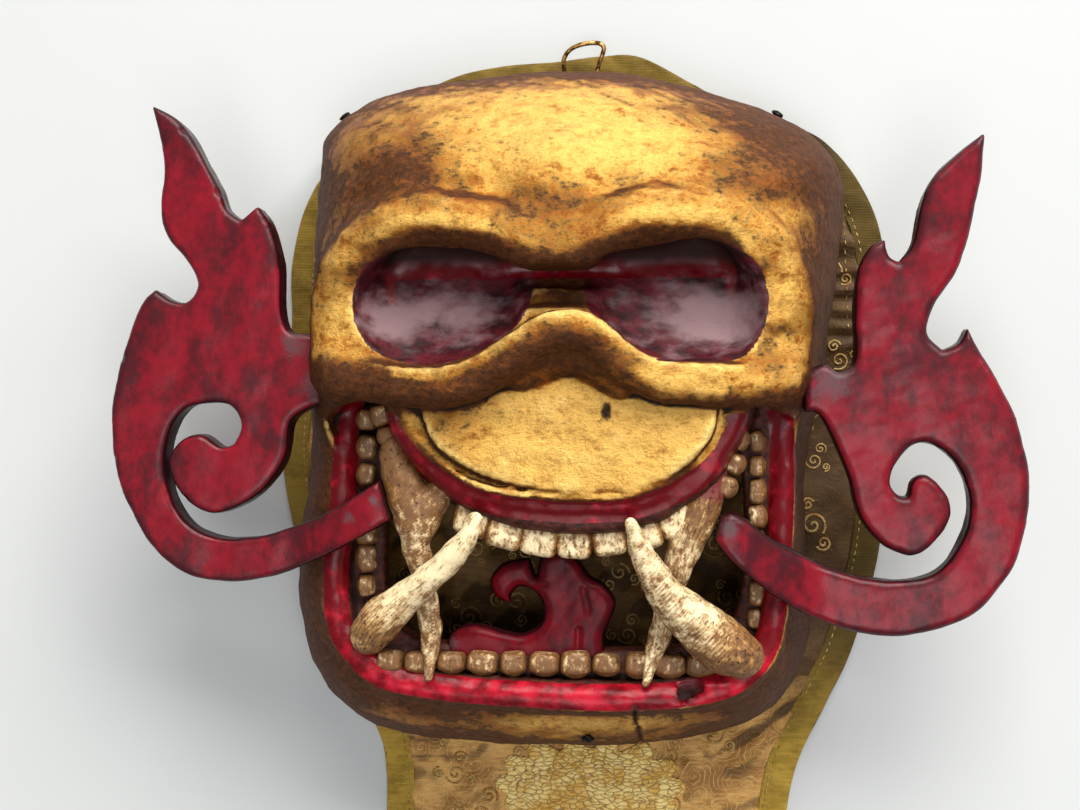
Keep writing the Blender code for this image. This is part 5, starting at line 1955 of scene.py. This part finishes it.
    def border(self, bench: Bench) -> bpy.types.Mesh:
        """Sews the folded silk band round the panel.

        Args:
            bench: Where it goes.

        Returns:
            Its mesh.
        """
        edge = self.edge(12)
        half, thick, turns = self.border_width / 2, 1.15, 20
        dent_in, dent_wide = self.border_width - self.seam_in, 1.3
        points = []
        for turn in range(turns):
            angle = 2 * math.pi * turn / turns
            cos, sin = math.cos(angle), math.sin(angle)
            wide = half * math.copysign(abs(cos) ** 0.55, cos)
            high = thick * math.copysign(abs(sin) ** 0.7, sin)
            ring = inset_outline(edge, half - wide + 0.2)
            base = self.border_height(ring[:, 0], ring[:, 1])
            pucker = 0.55 * ripple(ring[:, 0], ring[:, 1], 0.0, 9.0, 31)
            dent = -0.7 * math.exp(-((half - wide - dent_in) / dent_wide) ** 2)
            lift = base + high + (pucker + dent if sin > 0.05 else 0.0)
            points.append(np.column_stack([ring, np.maximum(lift, 0.15)]))
        rings = np.array(points)
        count = rings.shape[1]
        number = np.arange(turns * count).reshape(turns, count)
        around, along = np.roll(number, -1, axis=0), np.roll(number, -1, axis=1)
        both = np.roll(around, -1, axis=1)
        faces = np.stack([number, along, both, around], axis=-1).reshape(-1, 4)
        points = rings.reshape(-1, 3)
        mesh = bench.mesh("silk_border", points, faces)
        write_marks(mesh, {"painted_shade": self.painted_shade(points)})
        return mesh

    def painted_shade(self, points: np.ndarray) -> np.ndarray:
        """Finds the cloth's painted shade: everywhere off the chin flap, and more along the top,
        in the mouth and most beside the right board.

        Args:
            points: Places on the cloth, one a row.

        Returns:
            The share of painted shade at each place.
        """
        x, y, _ = points.T
        mouth = ease(-100.0, -80.0, x) * ease(92.0, 72.0, x) * ease(-150.0, -136.0, y)
        return (0.4 * ease(-205.0, -160.0, y) + 0.2 * ease(120.0, 165.0, y)
                + 0.46 * ease(70.0, 130.0, x) * ease(-180.0, -125.0, y)
                + 0.25 * mouth * ease(-40.0, -60.0, y))

    def lay_on(self, bench: Bench, mesh: bpy.types.Mesh, lift: float,
               on_border: bool = False) -> None:
        """Raises a flat mesh onto the folds of the cloth.

        Args:
            bench: Where it goes.
            mesh: The mesh, made round height 0.
            lift: How far it stands off the cloth.
            on_border: Whether it lies on the border.
        """
        points, _ = bench.corners(mesh)
        top = self.border_height if on_border else self.height
        points[:, 2] += top(points[:, 0], points[:, 1]) + lift
        mesh.vertices.foreach_set("co", bench.to_frame(points).ravel())
        mesh.update()

    def scroll_tree(self) -> bpy.types.NodeTree:
        """Writes the nodes that scatter curled clouds of gold cord over the panel.

        Returns:
            The tree.
        """
        recipe, given = start_tree("brocade_scrolls", "Scrolls", {
            "Panel": "Geometry", "Spacing": "Float", "Cord": "Float", "Curl": "Float",
            "Gold": "Material"})
        add = recipe.add
        cord = add("GeometryNodeCurvePrimitiveCircle",
                   inputs={"Resolution": 5, "Radius": given["Cord"]})
        join_up = recipe.tree.nodes.new("GeometryNodeJoinGeometry")
        for place, turn, size in self.curls:
            radius = add("ShaderNodeMath", {"operation": "MULTIPLY"}, {0: given["Curl"], 1: size})
            curl = add("GeometryNodeCurveSpiral", inputs={
                "Resolution": 14, "Rotations": 1.6, "Height": 0.0, "Start Radius": 0.3 * MM,
                "End Radius": radius})
            away = add("ShaderNodeVectorMath", {"operation": "SCALE"},
                       {0: place, "Scale": given["Curl"]})
            curl = add("GeometryNodeTransform", inputs={
                "Geometry": curl, "Translation": away, "Rotation": (0.0, 0.0, turn)})
            recipe.fill(join_up, {0: curl})
        motif = add("GeometryNodeCurveToMesh", inputs={
            "Curve": join_up.outputs[0], "Profile Curve": cord, "Fill Caps": True})
        spots = add("GeometryNodeDistributePointsOnFaces", {"distribute_method": "POISSON"},
                    {"Mesh": given["Panel"], "Distance Min": given["Spacing"],
                     "Density Max": 9000.0, "Seed": 12})
        grow = add("FunctionNodeRandomValue", inputs={2: 0.75, 3: 1.2, "Seed": 5}, output=1)
        spin = add("FunctionNodeRandomValue", {"data_type": "FLOAT_VECTOR"},
                   {0: (0.0, 0.0, 0.0), 1: (0.0, 0.0, 6.283), "Seed": 3})
        laid = add("GeometryNodeInstanceOnPoints", inputs={
            "Points": spots, "Instance": motif, "Rotation": spin, "Scale": grow})
        return end_tree(recipe, laid, given["Gold"])

    def stitch_tree(self) -> bpy.types.NodeTree:
        """Writes the nodes that run a line of stitches along the border.

        Returns:
            The tree.
        """
        recipe, given = start_tree("border_stitches", "Stitches", {
            "Seam": "Geometry", "Pitch": "Float", "Thread": "Material"})
        add = recipe.add
        line = add("GeometryNodeMeshToCurve", inputs={0: given["Seam"]})
        line = add("GeometryNodeResampleCurve", {"mode": "LENGTH"},
                   {"Curve": line, "Length": given["Pitch"]})
        turn = add("FunctionNodeAlignRotationToVector", {"axis": "X", "pivot_axis": "AUTO"},
                   {"Vector": add("GeometryNodeInputTangent")})
        stitch = add("GeometryNodeMeshUVSphere",
                     inputs={"Segments": 8, "Rings": 6, "Radius": 0.5 * MM})
        sewn = add("GeometryNodeInstanceOnPoints", inputs={
            "Points": line, "Instance": stitch, "Rotation": turn, "Scale": (2.6, 0.8, 0.8)})
        return end_tree(recipe, sewn, given["Thread"])

    def trims(self, bench: Bench, edge: np.ndarray, gold: bpy.types.Material
              ) -> tuple[bpy.types.Mesh, bpy.types.Mesh, bpy.types.Mesh]:
        """Works the cord and both lines of stitches, and lays them on the cloth.

        Args:
            bench: Where they go.
            edge: The hood's outer edge.
            gold: Their gilt thread.

        Returns:
            The scrolls, the border's stitches and the gathering stitches.
        """
        inner = inset_outline(edge, self.border_width + self.cord_margin)
        hem = edge[:, 1].min() + self.border_width + self.hem_margin
        inner[:, 1] = np.maximum(inner[:, 1], hem)
        seam = inset_outline(edge, self.border_width - self.seam_in)
        inner, seam = (bench.to_frame(np.column_stack([line, np.zeros(len(line))]))
                       for line in (inner, seam))
        scrolls = run_nodes("brocade_scrolls", inner, self.scroll_tree(), {
            "Spacing": self.scroll_spacing * MM, "Cord": self.cord * MM,
            "Curl": self.scroll_curl * MM, "Gold": gold}, filled=True)
        tree = self.stitch_tree()
        stitches = run_nodes("border_stitches", seam, tree,
                             {"Pitch": self.stitch_pitch * MM, "Thread": gold}, closed=True)
        gather = run_nodes("gather_stitches", bench.to_frame(spline(self.gather)), tree,
                           {"Pitch": self.gather_pitch * MM, "Thread": gold})
        self.lay_on(bench, scrolls, 0.1)
        self.lay_on(bench, stitches, 0.75, on_border=True)
        self.lay_on(bench, gather, 0.2)
        return scrolls, stitches, gather

    def build(self, bench: Bench, cloths: dict[Weave, bpy.types.Material]) -> None:
        """Sews the hood and what is worked on it.

        Args:
            bench: Where it goes.
            cloths: The material of each cloth.
        """
        edge, gold = self.edge(), cloths[Weave.CORD]
        scrolls, stitches, gather = self.trims(bench, edge, gold)
        on_panel = [
            add_piece("brocade_scrolls", scrolls, gold),
            add_piece("gather_stitches", gather, gold),
            PaddedFlower().build(bench, self, cloths[Weave.THREAD]),
        ]
        panel = add_piece("brocade_panel", self.panel(bench), cloths[Weave.GROUND],
                          ("hood_brocade",))
        on_border = [add_piece("border_stitches", stitches, gold)]
        border = add_piece("silk_border", self.border(bench), cloths[Weave.BORDER],
                           ("hood_border",))
        panel_edge = inset_outline(edge, self.border_width - self.overlap) * MM
        area_of(panel_edge)
        width = self.border_width * MM
        hole = area_of(inset_outline(edge, self.border_width) * MM)
        (area_of(edge * MM) - hole) / width


@dataclass
class PaddedFlower:
    """A lotus worked in couched gold over padding, on the chin flap."""

    centre: tuple[float, float] = (1.0, -220.0)
    spread: tuple[float, float] = (49.0, 26.0)
    petals: int = 14
    # Each ring of petals has a reach and a height, and a petal its half widths outwards.
    rings: tuple[tuple[float, float], ...] = ((1.0, 0.6), (0.62, 1.5))
    petal: tuple[tuple[float, float], ...] = ((0.25, 4.0), (0.65, 6.6), (1.0, 5.4))
    foot: float = -0.7
    step: float = 0.9

    def build(self, bench: Bench, hood: SilkHood, finish: bpy.types.Material
              ) -> bpy.types.Object:
        """Pads the flower and lays it on the folds.

        Args:
            bench: Where it goes.
            hood: The cloth that it is sewn to.
            finish: Its gold thread.

        Returns:
            The piece.
        """
        cx, cy = self.centre
        wide, tall = self.spread
        margin = 14
        block = Block((cx - wide - margin, cy - tall - margin, -1.8),
                      (cx + wide + margin, cy + tall + margin, 6), self.step)
        for ring, (reach, high) in enumerate(self.rings):
            for petal in range(self.petals):
                angle = 2 * math.pi * (petal + 0.5 * ring) / self.petals
                cos, sin = math.cos(angle), math.sin(angle)
                path = tuple((cx + cos * wide * reach * out, cy + sin * tall * reach * out,
                              high * (1.4 - 0.5 * out), radius)
                             for out, radius in self.petal)
                block.band(path, soft=0.9, flat=0.28)
        for side in (-1.0, 1.0):
            curl = tuple((cx + side * (9.0 + (9.0 - 0.75 * turn) * math.cos(0.8 * turn)),
                          cy - 1.0 + (9.0 - 0.75 * turn) * math.sin(0.8 * turn) * 0.9, 2.2, 1.9)
                         for turn in range(11))
            block.band(curl, soft=0.5, steps=3, flat=0.8)
        block.field = np.maximum(block.field, self.foot - block.z)
        mesh = bench.mesh("padded_flower", *block.skin())
        hood.lay_on(bench, mesh, 0.1)
        return add_piece("padded_flower", mesh, finish)


# ---- Where it is seen ----
@dataclass
class Studio:
    """White paper under soft lamps, and the camera that looks down on the mask."""

    floor_side: float = 9.0
    floor_drop: float = 0.0004
    eye: Place = (52.2, -2.5, 917.0)
    lean: float = 5.0
    film: float = 36.0
    lens: float = 53.333
    sky: str = "#dee0e4"
    sky_strength: float = 0.38
    # Each lamp has a place and an aim in bench millimetres, its sides in metres and its power.
    lamps: tuple[tuple[str, Place, Place, tuple[float, float], float, str], ...] = (
        ("window", (1280, 3520, 2720), (0, 0, 60), (4.2, 2.8), 400.0, "#fefcf9"),
        ("fill", (160, -620, 2200), (0, -40, 40), (1.2, 1.2), 21.0, "#fbfbff"),
    )

    def build(self, bench: Bench) -> None:
        """Lays the paper, hangs the lamps and sets the camera.

        Args:
            bench: Where the mask lies.
        """
        scene = bpy.context.scene
        self.lay_floor()
        world = bpy.data.worlds.new("studio")
        world.use_nodes = True
        sky = world.node_tree.nodes["Background"]
        sky.inputs["Color"].default_value = colour(self.sky)
        sky.inputs["Strength"].default_value = self.sky_strength
        scene.world = world
        for name, place, aim, (wide, tall), power, tint in self.lamps:
            lamp = bpy.data.lights.new(name, "AREA")
            lamp.shape = "RECTANGLE"
            lamp.size, lamp.size_y = wide, tall
            lamp.energy = power
            lamp.color = colour(tint)[:3]
            start, end = (Vector(bench.to_frame(point)) for point in (place, aim))
            holder = add_object(name, lamp)
            holder.location = start
            holder.rotation_euler = (end - start).to_track_quat("-Z", "Y").to_euler()
        lens = bpy.data.cameras.new("camera")
        lens.sensor_width, lens.lens = self.film, self.lens
        scene.camera = add_object("camera", lens)
        scene.camera.location = bench.to_frame(self.eye)
        scene.camera.rotation_euler = (0.0, math.radians(self.lean), 0.0)
        scene.view_settings.view_transform = "Standard"

    def lay_floor(self) -> None:
        """Lays the paper just under the mask."""
        half, down = self.floor_side / 2, -self.floor_drop
        sides = ((-half, -half), (half, -half), (half, half), (-half, half))
        mesh = bpy.data.meshes.new("floor")
        mesh.from_pydata([(x, y, down) for x, y in sides], [], [(0, 1, 2, 3)])
        mesh.materials.append(PaleFloor().material())
        add_object("floor", mesh)


EAR_LEFT = CarvedBoard(
    "left_scroll_board", "scroll_left",
    (
        (-224, 155), (-212, 148), (-203, 138), (-196, 126), (-188, 111), (-184, 100),
        (-176, 94), (-167, 101), (-160, 90), (-155, 68), (-154, 44), (-150, 35), (-141, 34),
        (-133, 33), (-133, -2), (-142, -5), (-150, -12), (-153, -30), (-163, -45), (-178, -56),
        (-193, -59), (-208, -49), (-215, -34), (-209, -22), (-198, -18), (-187, -24), (-180, -23),
        (-176, -13), (-181, -3), (-192, -1), (-205, -4), (-214, -16), (-217, -33), (-213, -52),
        (-203, -66), (-187, -72), (-166, -71), (-140, -63), (-118, -52), (-100, -41), (-94, -61),
        (-116, -73), (-143, -86), (-171, -94), (-198, -93), (-218, -82), (-234, -61), (-243, -35),
        (-245, -8), (-240, 22), (-230, 49), (-222, 58), (-214, 53), (-205, 52), (-199, 61),
        (-206, 74), (-216, 87), (-219, 98), (-217, 122), (-220, 139),
    ),
    (0, 6, 7, 13, 14, 26, 39, 40, 51), middle=92.0, thick=18.0, arm=(-152.0, -102.0), seed=11,
    dusty=((-148, 30, 9), (-136, 8, 8), (-116, -60, 4), (-103, -51, 3)),
    grooves=(((-214, 138, 103.5, 1.2), (-205, 122, 103.5, 1.8), (-196, 108, 103.5, 1.8),
              (-189, 94, 103.5, 1.4)),),
)
EAR_RIGHT = CarvedBoard(
    "right_scroll_board", "scroll_right",
    (
        (205, 135), (203, 113), (198, 89), (190, 64), (179, 47), (176, 34), (184, 25),
        (192, 29), (196, 37), (207, 17), (219, -6), (226, -34), (225, -62), (216, -88),
        (199, -107), (176, -117), (150, -119), (122, -111), (97, -97), (76, -79), (69, -70),
        (73, -58), (81, -57), (102, -72), (128, -85), (155, -91), (178, -88), (191, -75),
        (197, -54), (192, -34), (180, -23), (169, -23), (160, -33), (158, -42), (162, -48),
        (167, -49), (169, -41), (176, -38), (185, -46), (188, -57), (182, -69), (170, -78),
        (154, -73), (142, -58), (137, -38), (131, -24), (123, -8), (115, -6), (114, 13),
        (125, 18), (133, 14), (140, 20), (140, 42), (141, 62), (147, 76), (155, 81), (157, 73),
        (162, 69), (169, 79), (173, 100), (180, 113), (191, 124),
    ),
    (0, 6, 8, 20, 21, 35, 47, 48, 55, 57), middle=92.0, thick=18.0, arm=(126.0, 76.0), seed=12,
    edge=4.2, dusty=((127, 8, 10), (134, 16, 6), (76, -64, 6)),
)
TONGUE = CarvedBoard(
    "cloud_tongue", "tongue",
    (
        (-68, -136), (-68, -123), (-60, -117), (-50, -117), (-38, -120), (-29, -121), (-20, -116),
        (-18, -108), (-22, -100), (-30, -97), (-35, -101), (-35, -106), (-44, -101), (-46, -92),
        (-38, -84), (-26, -82), (-22, -92), (-19, -81), (-9, -77), (0, -83), (6, -91),
        (13, -95), (19, -104), (16, -114), (13, -123), (14, -134), (10, -136),
    ),
    (0, 11, 15, 16, 25, 26), middle=89.0, thick=13.0, edge=5.6, chips=5, step=1.0, seed=13,
    grooves=(((2.6, -97.6, 96.2, 1.6), (5.2, -108.8, 96.2, 1.3)),
             ((0.0, -118.0, 96.2, 1.4), (0.0, -131.0, 96.2, 1.4)),
             ((-24.8, -95.0, 96.2, 1.5), (-17.0, -95.0, 96.2, 1.3))),
    dusty=((-64, -126, 4),),
)
# The fangs get more of the mark of age and shade: painted shade where they sit under the cheek
# band.
TEETH = (
    HornedTooth("left_lower_tusk", "lower_tusk_left",
                ((-107, -121, 104, 10), (-100, -112, 109, 11), (-87, -101, 114, 8.8),
                 (-76, -92, 119, 7.4), (-65, -82, 123, 6.8), (-55, -71, 126, 5.8),
                 (-49, -59, 128, 3.4)), age_and_shade=-0.14, seed=21),
    HornedTooth("right_lower_tusk", "lower_tusk_right",
                ((82, -129, 104, 12), (73, -123, 108, 14), (61, -112, 114, 12.5),
                 (48, -100, 119, 9.8), (40, -88, 124, 7.8), (33, -74, 127, 5.8),
                 (28, -61, 129, 3)), age_and_shade=0.04, seed=22),
    HornedTooth("left_upper_fang", "upper_fang_left",
                ((-95, -24, 107, 6), (-92, -36, 107, 8.6), (-87, -49, 107, 10.5),
                 (-84, -62, 107, 9.4), (-82, -77, 105, 7.2), (-79, -92, 103, 6.2),
                 (-77, -108, 102, 6), (-75, -123, 104, 5.4), (-75.6, -141.6, 110, 1.8)),
                forks=(((-69, -43, 106, 6.5), (-73, -52, 107, 8), (-79, -64, 107, 7.6)),),
                flat=0.75, age_and_shade=0.3, seed=23),
    HornedTooth("right_upper_fang", "upper_fang_right",
                ((68, -36, 105, 8), (63, -52, 106, 10.5), (57, -67, 106, 9.8),
                 (52, -82, 104.5, 8), (48, -96, 102, 6.6), (44, -111, 101, 6),
                 (40, -125.5, 105, 5), (35, -143, 111, 1.8)),
                forks=(((46, -50, 106, 4.5), (50, -60.5, 106, 6)),), flat=0.75, red_root=0.8,
                age_and_shade=0.22, seed=24),
)
ROWS = (
    ToothRow("lower_row_teeth", ((-97, -135.6, 98.5), (63, -135.6, 98.5)), 11,
             (15.2, 12.6, 15.0), 31),
    ToothRow("upper_row_teeth",
             ((50, -59, 106), (33, -65.6, 106), (16, -69.5, 106), (-1, -70.7, 106),
              (-18, -69.3, 106), (-35, -65.3, 106), (-52, -58.5, 106)), 7,
             (19.4, 20.6, 15.0), 32, age_and_shade=0.04),
    ToothRow("left_side_teeth", ((-111.6, -10, 89), (-111.6, -97, 90)), 7,
             (13.0, 10.5, 13.0), 33, uneven=0.22),
    ToothRow("right_side_teeth", ((92, -112, 88), (92, -21, 88)), 8, (13.2, 10.8, 13.0), 34,
             uneven=0.22),
    ToothRow("left_inner_teeth", ((-102, -8, 103), (-98, -20.5, 104), (-96, -30, 105)), 3,
             (11.0, 10.5, 12.0), 35),
    ToothRow("right_inner_teeth", ((76, -44, 104), (80.5, -34, 102), (82.5, -20, 100)), 3,
             (11.0, 10.5, 12.0), 36),
)


def main() -> None:
    """Makes the mask in order, then the studio."""
    logging.basicConfig(level=logging.INFO, format="%(name)s: %(message)s")
    hood = SilkHood()
    low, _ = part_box("hood_border")
    start = hood.edge(steps=2).min(axis=0)
    bench = Bench((low.x / MM - start[0], low.y / MM - start[1]))
    log.info("bench lies at %.2f, %.2f mm in the frame", *bench.shift)
    GildedHead().build(bench, WornGilding().material())
    lacquer = RubbedLacquer().material()
    for board in (EAR_LEFT, EAR_RIGHT):
        board.build(bench, lacquer)
    TONGUE.build(bench, RubbedLacquer("shaded_red_lacquer", ("#6a0a15", "#3a060d"),
                                      gleam=0.09).material())
    ivory = OldIvoryPaint().material()
    for tooth in (*TEETH, *ROWS):
        tooth.build(bench, ivory)
    WireHanger().build(bench, TarnishedMetal().material())
    RimNails().build(bench, TarnishedMetal("blackened_iron", ("#2a2622", "#0e0c0b"), 1.5,
                                           0.45).material())
    Studio().build(bench)
    hood.build(bench, {Weave.GROUND: SatinBrocade().material(),
                       Weave.BORDER: WovenSilk().material(),
                       Weave.THREAD: CouchedGold().material(),
                       Weave.CORD: CouchedGold("gilt_cord", ("#f2cf86", "#b98a44"),
                                               scale_size=1.2).material()})


if __name__ == "__main__":
    main()
